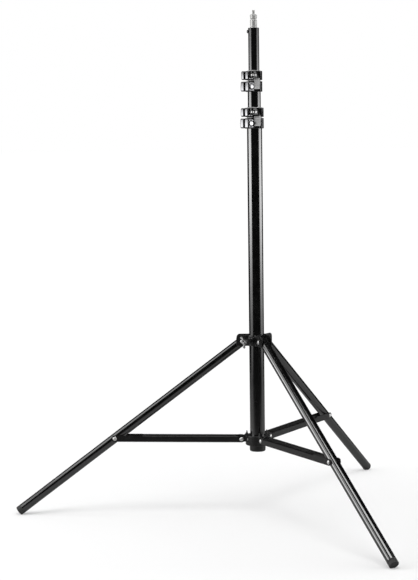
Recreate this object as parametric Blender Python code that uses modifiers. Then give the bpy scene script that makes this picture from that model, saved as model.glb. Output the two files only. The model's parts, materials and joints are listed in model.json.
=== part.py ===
"""Light stand: a three-section telescoping mast on a folding three-leg base.

Units are metres, +Z is up. The origin is the centre of the mast's flat bottom face, so the
floor lies below it. Leg A points along -X, leg B to the front right and leg C to the back right.
Every measure of a leg or brace is taken in the upright plane of that leg.
"""
import math

import bmesh
import bpy
from mathutils import Matrix

# Clearances
SEAT_GAP = 0.0003
PIN_GAP = 0.0003
TUBE_GAP = 0.0005
LINER_GAP = 0.0004

# Mast tubes
OUTER_TUBE_DIAMETER = 0.035
OUTER_TUBE_WALL = 0.0015
OUTER_TUBE_LENGTH = 0.7745
MIDDLE_TUBE_DIAMETER = 0.030
MIDDLE_TUBE_WALL = 0.0012
MIDDLE_TUBE_FOOT = 0.053
MIDDLE_TUBE_SHOWN = 0.0372
TOP_TUBE_DIAMETER = 0.025
TOP_TUBE_WALL = 0.0012
TOP_TUBE_FOOT = 0.1154
TOP_TUBE_SHOWN = 0.0987

# Mast end cap
CAP_FLOOR = 0.004
CAP_HEIGHT = 0.015
CAP_WALL = 0.0009
CAP_EDGE_RADIUS = 0.003
CAP_PLUG_HEIGHT = 0.012

# Guide bush and air seal at the lower end of each sliding tube
BUSH_FLANGE = 0.006
BUSH_STUB = 0.014
BUSH_BORE_RADIUS = 0.004
SEAL_THICKNESS = 0.0015
SEAL_DEPTH = 0.0016

# Spigot
SPIGOT_DIAMETER = 0.016
SPIGOT_BODY = 0.0170
SPIGOT_WAIST_DIAMETER = 0.0130
SPIGOT_WAIST = 0.0050
SPIGOT_WAIST_RAMP = 0.0015
SPIGOT_HEAD = 0.0085
SPIGOT_HEAD_ROUND = 0.0028
SPIGOT_PLUG = 0.034
SPIGOT_STUD_DIAMETER = 0.00635
SPIGOT_STUD = 0.0098
SPIGOT_STUD_CHAMFER = 0.0008
SPIGOT_SCREW_DROP = 0.0082
SPIGOT_SCREW_DIAMETER = 0.005
SPIGOT_SCREW_HEAD_DIAMETER = 0.0088
SPIGOT_SCREW_HEAD = 0.0032
SPIGOT_SCREW_REACH = 0.006

# Lower collar, which holds the braces
LOWER_COLLAR_HEIGHT = 0.0232
LOWER_COLLAR_RADIUS = 0.0282
LOWER_COLLAR_EDGE = 0.0015
BRACE_PIVOT_RADIUS = 0.0377
BRACE_PIVOT_RISE = 0.0145
LUG_END_RADIUS = 0.0062
COLLAR_SCREW_AZIMUTH = math.radians(-147)
COLLAR_SCREW_DIAMETER = 0.005

# Braces, bent from sheet as a channel that is open below
BRACE_WIDTH = 0.027
BRACE_DEPTH = 0.0147
BRACE_SHEET = 0.0015
BRACE_BEND_RADIUS = 0.0024
BRACE_END_REACH = 0.0080
BRACE_WEB_START = 0.0085
BRACE_WEB_SETBACK = 0.066

# Legs
LEG_DIAMETER = 0.022
LEG_WALL = 0.0012
LEG_LENGTH = 0.671
LEG_ANGLE = math.radians(52.95)
LEG_HEAD = 0.0045
LEG_JOINT_DISTANCE = 0.3797
LEG_PIVOT_RADIUS = 0.033
LEG_PIVOT_HEIGHT = 0.2613
PLUG_CAP = 0.0012
PLUG_STUB = 0.0008

# Rubber feet
FOOT_HEAD = 0.012
FOOT_STUB = 0.018
FOOT_EDGE_RADIUS = 0.001
FOOT_WEAR = 0.0012

# Leg collar, which slides on the outer tube
LEG_COLLAR_HEIGHT = 0.0255
LEG_COLLAR_RADIUS = 0.023
LEG_COLLAR_PIVOT_RISE = 0.0105
LEG_COLLAR_EDGE = 0.0012
POCKET_RADIUS = 0.0205
CHEEK_THICKNESS = 0.003
CHEEK_REACH = 0.0475
CHEEK_TOP_CORNER = 0.0085
CHEEK_LOW_CORNER = 0.004
LEG_SIDE_GAP = 0.0003

# Wing screw that locks the leg collar
LOCK_AZIMUTH = math.radians(-122)
LOCK_BOSS_RADIUS = 0.0088
LOCK_BOSS_REACH = 0.030
LOCK_STUD_DIAMETER = 0.006
LOCK_PAD_THICKNESS = 0.002
LOCK_HUB_DIAMETER = 0.0122
LOCK_HUB_LENGTH = 0.0255
LOCK_WING_SPAN = 0.036
LOCK_WING_LENGTH = 0.016
LOCK_WING_THICKNESS = 0.0026
LOCK_WING_TURN = math.radians(20)

# Rivets
RIVET_DIAMETER = 0.006
RIVET_HEAD_DIAMETER = 0.0094
RIVET_HEAD = 0.0024

# Tube clamps
CLAMP_LOWER_RING = 0.0233
CLAMP_SLIT = 0.0032
CLAMP_UPPER_RING = 0.0205
CLAMP_WALL = 0.0040
CLAMP_EDGE = 0.0008
EAR_AZIMUTH = math.radians(-135)
EAR_WIDTH = 0.025
EAR_SPLIT = 0.0045
UPPER_EAR_REACH = 0.0120
LOWER_EAR_REACH = 0.0138
EAR_EDGE = 0.0022
EAR_STEP = 0.0004
SPINE_AZIMUTH = math.radians(-70)
SPINE_SPREAD = math.radians(42)
SPINE_PROUD = 0.0014
SPINE_BASE = 0.0055
SPINE_TOP = 0.0306
LINER_WALL = 0.0018
LINER_LIP = 0.0016
LINER_SPLIT = 0.002
BOLT_DIAMETER = 0.005
LOWER_BOLT_SETBACK = 0.0100
LOWER_BOLT_HEIGHT = 0.0118
UPPER_BOLT_SETBACK = 0.0093
UPPER_BOLT_HEIGHT = 0.0376
BOLT_HEAD_DIAMETER = 0.0100
BOLT_HEAD = 0.0036
BOLT_SOCKET_DIAMETER = 0.0046
BOLT_SOCKET_DEPTH = 0.0020
NUT_ACROSS_CORNERS = 0.0090
NUT_THICKNESS = 0.0040
BOLT_END = 0.0012
EYE_DIAMETER = 0.0076
EYE_HEIGHT = 0.0050

# Flip lever of each clamp
LEVER_BASE = 0.0312
LEVER_HEIGHT = 0.0158
LEVER_THICKNESS = 0.0046
LEVER_RING_GAP = 0.0010
LEVER_BOSS_DIAMETER = 0.0104
LEVER_BOSS_WRAP = math.radians(75)
LEVER_END = math.radians(-56)
LEVER_PLAIN_SPREAD = math.radians(17)
LEVER_SLOT_HEIGHT = 0.0058
LEVER_PIN_DIAMETER = 0.003

# Facets round a turned piece
TUBE_FACETS = 32
LEG_FACETS = 24
SMALL_FACETS = 12
DOME_STEPS = 2
BEND_STEPS = 3
CORNER_STEPS = 4
END_STEPS = 8
WRAP_STEPS = 12
SECTOR_STEPS = 32
SHARP_ANGLE = math.radians(35)
CUTTER_TURN = math.radians(3.3)
MERGE = 0.00001

# Worked out from the sizes above
OUTER_TUBE_RADIUS = OUTER_TUBE_DIAMETER / 2
MIDDLE_TUBE_RADIUS = MIDDLE_TUBE_DIAMETER / 2
TOP_TUBE_RADIUS = TOP_TUBE_DIAMETER / 2
OUTER_TUBE_BASE = CAP_FLOOR + SEAT_GAP
OUTER_TUBE_TOP = OUTER_TUBE_BASE + OUTER_TUBE_LENGTH
CLAMP_HEIGHT = CLAMP_LOWER_RING + CLAMP_SLIT + CLAMP_UPPER_RING
LOWER_CLAMP_BASE = OUTER_TUBE_TOP - CLAMP_LOWER_RING
UPPER_CLAMP_BASE = LOWER_CLAMP_BASE + CLAMP_HEIGHT + MIDDLE_TUBE_SHOWN
MIDDLE_TUBE_TOP = UPPER_CLAMP_BASE + CLAMP_LOWER_RING
MIDDLE_TUBE_BASE = CAP_PLUG_HEIGHT + MIDDLE_TUBE_FOOT
TOP_TUBE_TOP = UPPER_CLAMP_BASE + CLAMP_HEIGHT + TOP_TUBE_SHOWN
TOP_TUBE_BASE = MIDDLE_TUBE_BASE + TOP_TUBE_FOOT
LOWER_COLLAR_BASE = CAP_HEIGHT + SEAT_GAP
BRACE_PIVOT_HEIGHT = LOWER_COLLAR_BASE + BRACE_PIVOT_RISE
LEG_COLLAR_BASE = LEG_PIVOT_HEIGHT - LEG_COLLAR_PIVOT_RISE
LEG_RADIUS = LEG_DIAMETER / 2
BRACE_INSIDE = BRACE_WIDTH - 2 * BRACE_SHEET
CHEEK_INSIDE = LEG_DIAMETER + 2 * LEG_SIDE_GAP
CHEEK_OUTSIDE = CHEEK_INSIDE + 2 * CHEEK_THICKNESS
JOINT_RADIUS = LEG_PIVOT_RADIUS + LEG_JOINT_DISTANCE * math.sin(LEG_ANGLE)
JOINT_HEIGHT = LEG_PIVOT_HEIGHT - LEG_JOINT_DISTANCE * math.cos(LEG_ANGLE)
BRACE_LENGTH = math.hypot(JOINT_RADIUS - BRACE_PIVOT_RADIUS, JOINT_HEIGHT - BRACE_PIVOT_HEIGHT)
BRACE_SLOPE = math.atan2(JOINT_HEIGHT - BRACE_PIVOT_HEIGHT, JOINT_RADIUS - BRACE_PIVOT_RADIUS)
FOOT_CENTRE_HEIGHT = LEG_PIVOT_HEIGHT - LEG_LENGTH * math.cos(LEG_ANGLE)
FOOT_LOW_CENTRE = (LEG_RADIUS - FOOT_EDGE_RADIUS) * math.sin(LEG_ANGLE)
FOOT_LOWEST = (FOOT_CENTRE_HEIGHT - FOOT_LOW_CENTRE
               + FOOT_EDGE_RADIUS * math.cos(LEG_ANGLE) - FOOT_EDGE_RADIUS)
FLOOR_HEIGHT = FOOT_LOWEST + FOOT_WEAR
LEG_AZIMUTHS = {"a": math.radians(180), "b": math.radians(-60), "c": math.radians(60)}


def clear_scene():
    """Remove every object, so that the stand starts from an empty scene."""
    for old in list(bpy.data.objects):
        bpy.data.objects.remove(old, do_unlink=True)


def new_collection(name):
    collection = bpy.data.collections.new(name)
    bpy.context.scene.collection.children.link(collection)
    return collection


def principled(name, colour, roughness, metallic):
    """One Principled material with plain values."""
    material = bpy.data.materials.new(name)
    material.use_nodes = True
    shader = material.node_tree.nodes["Principled BSDF"]
    shader.inputs["Base Color"].default_value = (*colour, 1.0)
    shader.inputs["Roughness"].default_value = roughness
    shader.inputs["Metallic"].default_value = metallic
    return material


def arc(centre, radius, start, end, steps):
    """Points on an arc round centre, from angle start to angle end, both included."""
    points = []
    for step in range(steps + 1):
        angle = start + (end - start) * step / steps
        points.append((centre[0] + radius * math.cos(angle), centre[1] + radius * math.sin(angle)))
    return points


def add_object(name, mesh, collection, material=None):
    piece = bpy.data.objects.new(name, mesh)
    collection.objects.link(piece)
    if material is not None:
        mesh.materials.append(material)
    return piece


def smooth(piece):
    piece.data.shade_smooth()
    piece.data.set_sharp_from_angle(angle=SHARP_ANGLE)


def mesh_from(name, build):
    """A mesh whose bmesh is filled by the function build."""
    mesh = bpy.data.meshes.new(name)
    work = bmesh.new()
    build(work)
    work.to_mesh(mesh)
    work.free()
    return mesh


def turned(name, profile, collection, material=None, facets=TUBE_FACETS, closed=True):
    """A piece turned round its own Z axis; the profile of (radius, height) runs down outside."""
    mesh = bpy.data.meshes.new(name)
    points = [(radius, 0.0, height) for radius, height in profile]
    edges = [(index, index + 1) for index in range(len(points) - 1)]
    if closed:
        edges.append((len(points) - 1, 0))
    mesh.from_pydata(points, edges, [])
    piece = add_object(name, mesh, collection, material)
    screw = piece.modifiers.new("Turned", "SCREW")
    screw.axis = "Z"
    screw.angle = math.tau
    screw.steps = facets
    screw.render_steps = facets
    screw.use_merge_vertices = True
    screw.merge_threshold = MERGE
    screw.use_smooth_shade = True
    return piece


def solid_rod(name, radius, base, top, collection, material=None, facets=SMALL_FACETS):
    """A plain round rod along Z."""
    profile = [(0.0, top), (radius, top), (radius, base), (0.0, base)]
    return turned(name, profile, collection, material, facets, closed=False)


def cutting_rod(name, radius, base, top, cutters, facets=SMALL_FACETS):
    """A round cutter, turned a little so that its facets never meet those that it cuts."""
    rod = solid_rod(name, radius, base, top, cutters, None, facets)
    rod.data.transform(Matrix.Rotation(CUTTER_TURN, 4, "Z"))
    return rod


def tube(name, radius, bore, base, top, collection, material=None, facets=TUBE_FACETS):
    """A round tube along Z."""
    profile = [(radius, top), (radius, base), (bore, base), (bore, top)]
    return turned(name, profile, collection, material, facets)


def block(name, low, high, collection, material=None, edge=0.0, segments=1):
    """A box between two corners, its edges rounded where edge is given."""
    def build(work):
        bmesh.ops.create_cube(work, size=1.0)
        for vertex in work.verts:
            for axis in range(3):
                middle = (low[axis] + high[axis]) / 2
                vertex.co[axis] = middle + vertex.co[axis] * (high[axis] - low[axis])
    piece = add_object(name, mesh_from(name, build), collection, material)
    if edge > 0:
        bevel = piece.modifiers.new("Rounded", "BEVEL")
        bevel.width = edge
        bevel.segments = segments
        bevel.limit_method = "ANGLE"
    return piece


def flat_piece(name, outline, thickness, collection, material=None):
    """A flat outline in its own XY plane, thickened evenly both ways, as a mesh."""
    curve = bpy.data.curves.new(name, "CURVE")
    curve.dimensions = "2D"
    curve.fill_mode = "BOTH"
    curve.extrude = thickness / 2
    spline = curve.splines.new("POLY")
    spline.points.add(len(outline) - 1)
    for point, (x, y) in zip(spline.points, outline):
        point.co = (x, y, 0.0, 1.0)
    spline.use_cyclic_u = True
    drawn = bpy.data.objects.new(name + "_outline", curve)
    collection.objects.link(drawn)
    bpy.context.view_layer.update()
    graph = bpy.context.evaluated_depsgraph_get()
    mesh = bpy.data.meshes.new_from_object(drawn.evaluated_get(graph))
    bpy.data.objects.remove(drawn, do_unlink=True)
    bpy.data.curves.remove(curve)
    work = bmesh.new()
    work.from_mesh(mesh)
    bmesh.ops.remove_doubles(work, verts=work.verts, dist=MERGE)
    bmesh.ops.recalc_face_normals(work, faces=work.faces)
    work.to_mesh(mesh)
    work.free()
    mesh.name = name
    mesh.materials.clear()
    piece = add_object(name, mesh, collection, material)
    smooth(piece)
    return piece


def carve(piece, tool, operation="DIFFERENCE"):
    """Cut, or join, one object by another that is kept only as a guide."""
    boolean = piece.modifiers.new(tool.name, "BOOLEAN")
    boolean.operation = operation
    boolean.solver = "EXACT"
    boolean.object = tool
    tool.hide_render = True
    tool.display_type = "WIRE"


def place(piece, matrix, parent=None):
    """Put a piece at a matrix given in its parent's frame."""
    piece.parent = parent
    piece.matrix_local = matrix


def along_y(offset=0.0):
    """Turns a piece made along Z to lie along Y."""
    return Matrix.Translation((0.0, offset, 0.0)) @ Matrix.Rotation(-math.pi / 2, 4, "X")


def upright_plane():
    """Turns a flat piece from its XY plane to the upright XZ plane, its Y side becoming Z."""
    return Matrix.Rotation(math.pi / 2, 4, "X")


def radial(azimuth):
    """Turns a piece made along Z to point straight out from the mast at an azimuth."""
    return Matrix.Rotation(azimuth, 4, "Z") @ Matrix.Rotation(math.pi / 2, 4, "Y")


def frame_empty(name, matrix, parent, collection):
    empty = bpy.data.objects.new(name, None)
    collection.objects.link(empty)
    place(empty, matrix, parent)
    return empty


def dome(radius, height, top_down=True):
    """A spherical cap's profile, from the axis out to the rim or the other way."""
    ball = (radius ** 2 + height ** 2) / (2 * height)
    spread = math.asin(radius / ball)
    points = []
    for step in range(DOME_STEPS + 1):
        angle = spread * step / DOME_STEPS
        points.append((ball * math.sin(angle), ball * math.cos(angle) - ball + height))
    points[0] = (0.0, height)
    return points if top_down else points[::-1]


def rivet_profile(grip, pin_radius=RIVET_DIAMETER / 2):
    """A rivet through a stack of the thickness grip, a domed head at each end."""
    half = grip / 2 + SEAT_GAP
    head = RIVET_HEAD_DIAMETER / 2
    upper = [(radius, half + height) for radius, height in dome(head, RIVET_HEAD)]
    lower = [(radius, -half - height) for radius, height in dome(head, RIVET_HEAD, False)]
    return upper + [(pin_radius, half), (pin_radius, -half)] + lower


def screw_profile(head_radius, head, pin_radius, reach):
    """A pan-headed screw whose head sits on height 0 and whose shank goes down to -reach."""
    return dome(head_radius, head) + [(pin_radius, 0.0), (pin_radius, -reach), (0.0, -reach)]


def make_materials():
    return {
        "black paint": principled("Black lacquer", (0.012, 0.012, 0.013), 0.22, 0.0),
        "satin black": principled("Satin black casting", (0.018, 0.018, 0.019), 0.38, 0.0),
        "chrome": principled("Chrome", (0.78, 0.78, 0.79), 0.12, 1.0),
        "rubber": principled("Rubber", (0.035, 0.035, 0.036), 0.75, 0.0),
        "black plastic": principled("Black plastic", (0.015, 0.015, 0.016), 0.35, 0.0),
        "nylon": principled("Grey nylon", (0.42, 0.42, 0.42), 0.45, 0.0),
        "steel": principled("Zinc-plated steel", (0.62, 0.62, 0.62), 0.28, 1.0),
        "brass": principled("Brass", (0.62, 0.47, 0.20), 0.35, 1.0),
    }


def build_mast_tubes(parts, cutters, finish):
    """Three tubes that slide in one another, and the cap that closes the lowest."""
    tube("outer_tube", OUTER_TUBE_RADIUS, OUTER_TUBE_RADIUS - OUTER_TUBE_WALL,
         OUTER_TUBE_BASE, OUTER_TUBE_TOP, parts, finish["black paint"])
    tube("middle_tube", MIDDLE_TUBE_RADIUS, MIDDLE_TUBE_RADIUS - MIDDLE_TUBE_WALL,
         MIDDLE_TUBE_BASE, MIDDLE_TUBE_TOP, parts, finish["black paint"])
    top_tube = tube("top_tube", TOP_TUBE_RADIUS, TOP_TUBE_RADIUS - TOP_TUBE_WALL,
                    TOP_TUBE_BASE, TOP_TUBE_TOP, parts, finish["black paint"])
    hole = cutting_rod("spigot_screw_hole", SPIGOT_SCREW_DIAMETER / 2 + PIN_GAP,
                       0.0, TOP_TUBE_DIAMETER, cutters)
    place(hole, Matrix.Translation((0, 0, TOP_TUBE_TOP - SPIGOT_SCREW_DROP)) @ radial(math.pi))
    carve(top_tube, hole)

    plug_radius = OUTER_TUBE_RADIUS - OUTER_TUBE_WALL - SEAT_GAP
    groove_radius = OUTER_TUBE_RADIUS + SEAT_GAP
    cap_radius = groove_radius + CAP_WALL
    edge_centre = (cap_radius - CAP_EDGE_RADIUS, CAP_EDGE_RADIUS)
    profile = [(0.0, CAP_PLUG_HEIGHT), (plug_radius, CAP_PLUG_HEIGHT), (plug_radius, CAP_FLOOR),
               (groove_radius, CAP_FLOOR), (groove_radius, CAP_HEIGHT), (cap_radius, CAP_HEIGHT)]
    profile += arc(edge_centre, CAP_EDGE_RADIUS, 0.0, -math.pi / 2, CORNER_STEPS) + [(0.0, 0.0)]
    turned("mast_end_cap", profile, parts, finish["black plastic"], closed=False)


def build_bush(prefix, outside, inside, base, parts, finish):
    """A nylon guide bush under a sliding tube, and the seal ring in its groove.

    outside is the bore radius that it runs in, inside is the bore radius of its own tube.
    """
    flange_radius = outside - TUBE_GAP
    stub_radius = inside - SEAT_GAP
    top = base - SEAT_GAP
    bottom = top - BUSH_FLANGE
    groove_radius = flange_radius - SEAL_DEPTH
    groove_top = bottom + (BUSH_FLANGE + SEAL_THICKNESS) / 2 + SEAT_GAP
    groove_bottom = bottom + (BUSH_FLANGE - SEAL_THICKNESS) / 2 - SEAT_GAP
    profile = [(stub_radius, base + BUSH_STUB), (stub_radius, top), (flange_radius, top),
               (flange_radius, groove_top), (groove_radius, groove_top),
               (groove_radius, groove_bottom), (flange_radius, groove_bottom),
               (flange_radius, bottom), (BUSH_BORE_RADIUS, bottom),
               (BUSH_BORE_RADIUS, base + BUSH_STUB)]
    turned(prefix + "_guide_bush", profile, parts, finish["nylon"])
    tube(prefix + "_air_seal", outside - SEAT_GAP, groove_radius + SEAT_GAP,
         groove_bottom + SEAT_GAP, groove_top - SEAT_GAP, parts, finish["rubber"])


def build_spigot(parts, cutters, finish):
    """The chrome spigot in the top tube, its threaded stud and the screw that holds it."""
    plug_radius = TOP_TUBE_RADIUS - TOP_TUBE_WALL - SEAT_GAP
    body_radius = SPIGOT_DIAMETER / 2
    waist_radius = SPIGOT_WAIST_DIAMETER / 2
    stud_radius = SPIGOT_STUD_DIAMETER / 2
    waist_base = TOP_TUBE_TOP + SPIGOT_BODY
    waist_top = waist_base + SPIGOT_WAIST
    head_top = waist_top + SPIGOT_HEAD
    tip = head_top + SPIGOT_STUD
    round_centre = (body_radius - SPIGOT_HEAD_ROUND, head_top - SPIGOT_HEAD_ROUND)
    profile = [(0.0, tip), (stud_radius - SPIGOT_STUD_CHAMFER, tip),
               (stud_radius, tip - SPIGOT_STUD_CHAMFER), (stud_radius, head_top)]
    profile += arc(round_centre, SPIGOT_HEAD_ROUND, math.pi / 2, 0.0, CORNER_STEPS)
    profile += [(body_radius, waist_top), (waist_radius, waist_top - SPIGOT_WAIST_RAMP),
                (waist_radius, waist_base + SPIGOT_WAIST_RAMP), (body_radius, waist_base),
                (body_radius, TOP_TUBE_TOP), (plug_radius, TOP_TUBE_TOP),
                (plug_radius, TOP_TUBE_TOP - SPIGOT_PLUG), (0.0, TOP_TUBE_TOP - SPIGOT_PLUG)]
    spigot = turned("spigot", profile, parts, finish["chrome"], closed=False)
    screw_height = TOP_TUBE_TOP - SPIGOT_SCREW_DROP
    hole_bottom = TOP_TUBE_RADIUS - SPIGOT_SCREW_REACH - SEAT_GAP
    hole = cutting_rod("spigot_screw_seat", SPIGOT_SCREW_DIAMETER / 2 + PIN_GAP,
                       hole_bottom, TOP_TUBE_DIAMETER, cutters)
    place(hole, Matrix.Translation((0, 0, screw_height)) @ radial(math.pi))
    carve(spigot, hole)
    profile = screw_profile(SPIGOT_SCREW_HEAD_DIAMETER / 2, SPIGOT_SCREW_HEAD,
                            SPIGOT_SCREW_DIAMETER / 2, SPIGOT_SCREW_REACH + SEAT_GAP)
    screw = turned("spigot_screw", profile, parts, finish["satin black"], SMALL_FACETS, closed=False)
    out = Matrix.Translation((0, 0, TOP_TUBE_RADIUS + SEAT_GAP))
    place(screw, Matrix.Translation((0, 0, screw_height)) @ radial(math.pi) @ out)


def build_lower_collar(parts, cutters, finish):
    """The collar fixed at the foot of the mast, with one lug for each brace."""
    bore = OUTER_TUBE_RADIUS + SEAT_GAP
    top = LOWER_COLLAR_BASE + LOWER_COLLAR_HEIGHT
    edge = LOWER_COLLAR_EDGE
    profile = [(bore, top), (LOWER_COLLAR_RADIUS - edge, top), (LOWER_COLLAR_RADIUS, top - edge),
               (LOWER_COLLAR_RADIUS, LOWER_COLLAR_BASE + edge),
               (LOWER_COLLAR_RADIUS - edge, LOWER_COLLAR_BASE), (bore, LOWER_COLLAR_BASE)]
    collar = turned("lower_collar", profile, parts, finish["satin black"])
    lug_width = BRACE_INSIDE - 2 * SEAT_GAP
    root = (LOWER_COLLAR_RADIUS + bore) / 2
    outline = [(root, -LUG_END_RADIUS)]
    outline += arc((BRACE_PIVOT_RADIUS, 0.0), LUG_END_RADIUS, -math.pi / 2, math.pi / 2,
                   END_STEPS)
    outline += [(root, LUG_END_RADIUS)]
    for leg, azimuth in LEG_AZIMUTHS.items():
        turn = Matrix.Rotation(azimuth, 4, "Z")
        raised = Matrix.Translation((0, 0, BRACE_PIVOT_HEIGHT))
        lug = flat_piece("lug_" + leg, outline, lug_width, cutters)
        place(lug, turn @ raised @ upright_plane())
        carve(collar, lug, "UNION")
        hole = cutting_rod("lug_hole_" + leg, RIVET_DIAMETER / 2 + PIN_GAP,
                           -BRACE_WIDTH / 2, BRACE_WIDTH / 2, cutters)
        place(hole, turn @ Matrix.Translation((BRACE_PIVOT_RADIUS, 0, BRACE_PIVOT_HEIGHT)) @ along_y())
        carve(collar, hole)
    screw_radius = COLLAR_SCREW_DIAMETER / 2
    hole = cutting_rod("collar_screw_hole", screw_radius + PIN_GAP, 0.0,
                       LOWER_COLLAR_RADIUS * 2, cutters)
    screw_frame = Matrix.Translation((0, 0, BRACE_PIVOT_HEIGHT)) @ radial(COLLAR_SCREW_AZIMUTH)
    place(hole, screw_frame)
    carve(collar, hole)
    screw = solid_rod("lower_collar_screw", screw_radius, OUTER_TUBE_RADIUS + SEAT_GAP,
                      LOWER_COLLAR_RADIUS - SEAT_GAP, parts, finish["steel"])
    place(screw, screw_frame)


def brace_section():
    """The channel's outline across its length: an upside-down U with rounded bends."""
    half = BRACE_WIDTH / 2
    top = BRACE_DEPTH / 2
    inner = BRACE_BEND_RADIUS - BRACE_SHEET
    bend = (half - BRACE_BEND_RADIUS, top - BRACE_BEND_RADIUS)
    right = arc(bend, BRACE_BEND_RADIUS, 0.0, math.pi / 2, BEND_STEPS)
    right_inner = arc(bend, inner, math.pi / 2, 0.0, BEND_STEPS)
    outline = [(half, -top)] + right + [(-x, y) for x, y in right[::-1]] + [(-half, -top)]
    outline += [(-half + BRACE_SHEET, -top)] + [(-x, y) for x, y in right_inner[::-1]]
    return outline + right_inner + [(half - BRACE_SHEET, -top)]


def build_brace(leg, frame, parts, cutters, finish):
    """One brace between the lower collar and its leg, and the two rivets it turns on."""
    reach = BRACE_END_REACH
    length = BRACE_LENGTH + 2 * reach
    name = "brace_" + leg
    brace = flat_piece(name, brace_section(), length, parts, finish["satin black"])
    lie_along = Matrix(((0, 0, 1, 0), (1, 0, 0, 0), (0, 1, 0, 0), (0, 0, 0, 1)))
    brace.data.transform(Matrix.Translation((BRACE_LENGTH / 2, 0, 0)) @ lie_along)
    place(brace, Matrix.Identity(4), frame)

    over = BRACE_DEPTH
    corner = BRACE_DEPTH / 2
    rounded = arc((BRACE_LENGTH + reach - corner, 0.0), corner, -math.pi / 2, math.pi / 2, END_STEPS)
    rounded += arc((corner - reach, 0.0), corner, math.pi / 2, 3 * math.pi / 2, END_STEPS)
    ends = flat_piece(name + "_ends", rounded, BRACE_WIDTH * 2, cutters)
    place(ends, upright_plane(), frame)
    carve(brace, ends, "INTERSECT")

    web_floor = BRACE_DEPTH / 2 - BRACE_BEND_RADIUS
    half = BRACE_INSIDE / 2
    near = block(name + "_near_cut", (-over, -half, web_floor - over),
                 (BRACE_WEB_START, half, over), cutters)
    place(near, Matrix.Identity(4), frame)
    carve(brace, near)
    far = block(name + "_far_cut", (BRACE_LENGTH - BRACE_WEB_SETBACK, -half, web_floor - over),
                (BRACE_LENGTH + over, half, over), cutters)
    place(far, Matrix.Identity(4), frame)
    carve(brace, far)
    for end, distance in (("collar", 0.0), ("leg", BRACE_LENGTH)):
        hole = cutting_rod(f"{name}_{end}_hole", RIVET_DIAMETER / 2 + PIN_GAP,
                           -BRACE_WIDTH, BRACE_WIDTH, cutters)
        place(hole, Matrix.Translation((distance, 0, 0)) @ along_y(), frame)
        carve(brace, hole)
        rivet = turned(f"brace_{leg}_{end}_rivet", rivet_profile(BRACE_WIDTH), parts,
                       finish["steel"], SMALL_FACETS, closed=False)
        place(rivet, Matrix.Translation((distance, 0, 0)) @ along_y(), frame)


def build_leg(leg, joint, parts, cutters, finish):
    """One leg, made along Z with its brace joint at height 0, its top plug and rubber foot."""
    name = "leg_" + leg
    bore = LEG_RADIUS - LEG_WALL
    top = LEG_JOINT_DISTANCE + LEG_HEAD
    foot_end = LEG_JOINT_DISTANCE - LEG_LENGTH
    tube_end = foot_end + FOOT_HEAD + SEAT_GAP
    leg_tube = tube(name, LEG_RADIUS, bore, tube_end, top, parts, finish["black paint"],
                    LEG_FACETS)
    place(leg_tube, Matrix.Identity(4), joint)
    for hole_name, height in (("_joint_hole", 0.0), ("_pivot_hole", LEG_JOINT_DISTANCE)):
        hole = cutting_rod(name + hole_name, RIVET_DIAMETER / 2 + PIN_GAP,
                           -LEG_DIAMETER, LEG_DIAMETER, cutters)
        place(hole, Matrix.Translation((0, 0, height)) @ along_y(), joint)
        carve(leg_tube, hole)

    stub_radius = bore - SEAT_GAP
    cap_base = top + SEAT_GAP
    profile = [(radius, cap_base + height) for radius, height in dome(LEG_RADIUS, PLUG_CAP)]
    profile += [(stub_radius, cap_base), (stub_radius, cap_base - PLUG_STUB), (0.0, cap_base - PLUG_STUB)]
    plug = turned(name + "_top_plug", profile, parts, finish["black plastic"], SMALL_FACETS,
                  closed=False)
    place(plug, Matrix.Identity(4), joint)

    head_top = foot_end + FOOT_HEAD
    edge_centre = (LEG_RADIUS - FOOT_EDGE_RADIUS, foot_end + FOOT_EDGE_RADIUS)
    profile = [(0.0, head_top + FOOT_STUB), (stub_radius, head_top + FOOT_STUB),
               (stub_radius, head_top), (LEG_RADIUS, head_top)]
    profile += arc(edge_centre, FOOT_EDGE_RADIUS, 0.0, -math.pi / 2, CORNER_STEPS)
    profile += [(0.0, foot_end)]
    foot = turned("foot_" + leg, profile, parts, finish["rubber"], LEG_FACETS, closed=False)
    place(foot, Matrix.Identity(4), joint)
    return foot


def build_leg_set(leg, azimuth, parts, cutters, finish):
    """The brace and leg that stand out at one azimuth, each on its own joint's frame."""
    side = frame_empty("leg_plane_" + leg, Matrix.Rotation(azimuth, 4, "Z"), None, parts)
    collar_pivot = Matrix.Translation((BRACE_PIVOT_RADIUS, 0, BRACE_PIVOT_HEIGHT))
    brace_frame = frame_empty("brace_frame_" + leg,
                              collar_pivot @ Matrix.Rotation(-BRACE_SLOPE, 4, "Y"), side, parts)
    build_brace(leg, brace_frame, parts, cutters, finish)
    leg_joint = Matrix.Translation((JOINT_RADIUS, 0, JOINT_HEIGHT))
    leg_frame = frame_empty("leg_frame_" + leg,
                            leg_joint @ Matrix.Rotation(-LEG_ANGLE, 4, "Y"), side, parts)
    foot = build_leg(leg, leg_frame, parts, cutters, finish)
    wear = LEG_DIAMETER
    floor = block("floor_" + leg, (LEG_PIVOT_RADIUS, -wear, FLOOR_HEIGHT - wear),
                  (LEG_PIVOT_RADIUS + LEG_LENGTH, wear, FLOOR_HEIGHT), cutters)
    place(floor, Matrix.Identity(4), side)
    carve(foot, floor)
    build_leg_pivot_rivets(leg, side, parts, finish)


def build_leg_pivot_rivets(leg, side, parts, finish):
    """The two headed pins in the leg collar's cheeks, one at each side of the leg."""
    profile = screw_profile(RIVET_HEAD_DIAMETER / 2, RIVET_HEAD, RIVET_DIAMETER / 2,
                            CHEEK_THICKNESS + SEAT_GAP)
    pivot = Matrix.Translation((LEG_PIVOT_RADIUS, 0, LEG_PIVOT_HEIGHT))
    outside = along_y(CHEEK_OUTSIDE / 2 + SEAT_GAP)
    for cheek, turn in (("left", 0.0), ("right", math.pi)):
        pin = turned(f"leg_{leg}_{cheek}_cheek_rivet", profile, parts, finish["steel"],
                     SMALL_FACETS, closed=False)
        place(pin, pivot @ Matrix.Rotation(turn, 4, "Z") @ outside, side)


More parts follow.
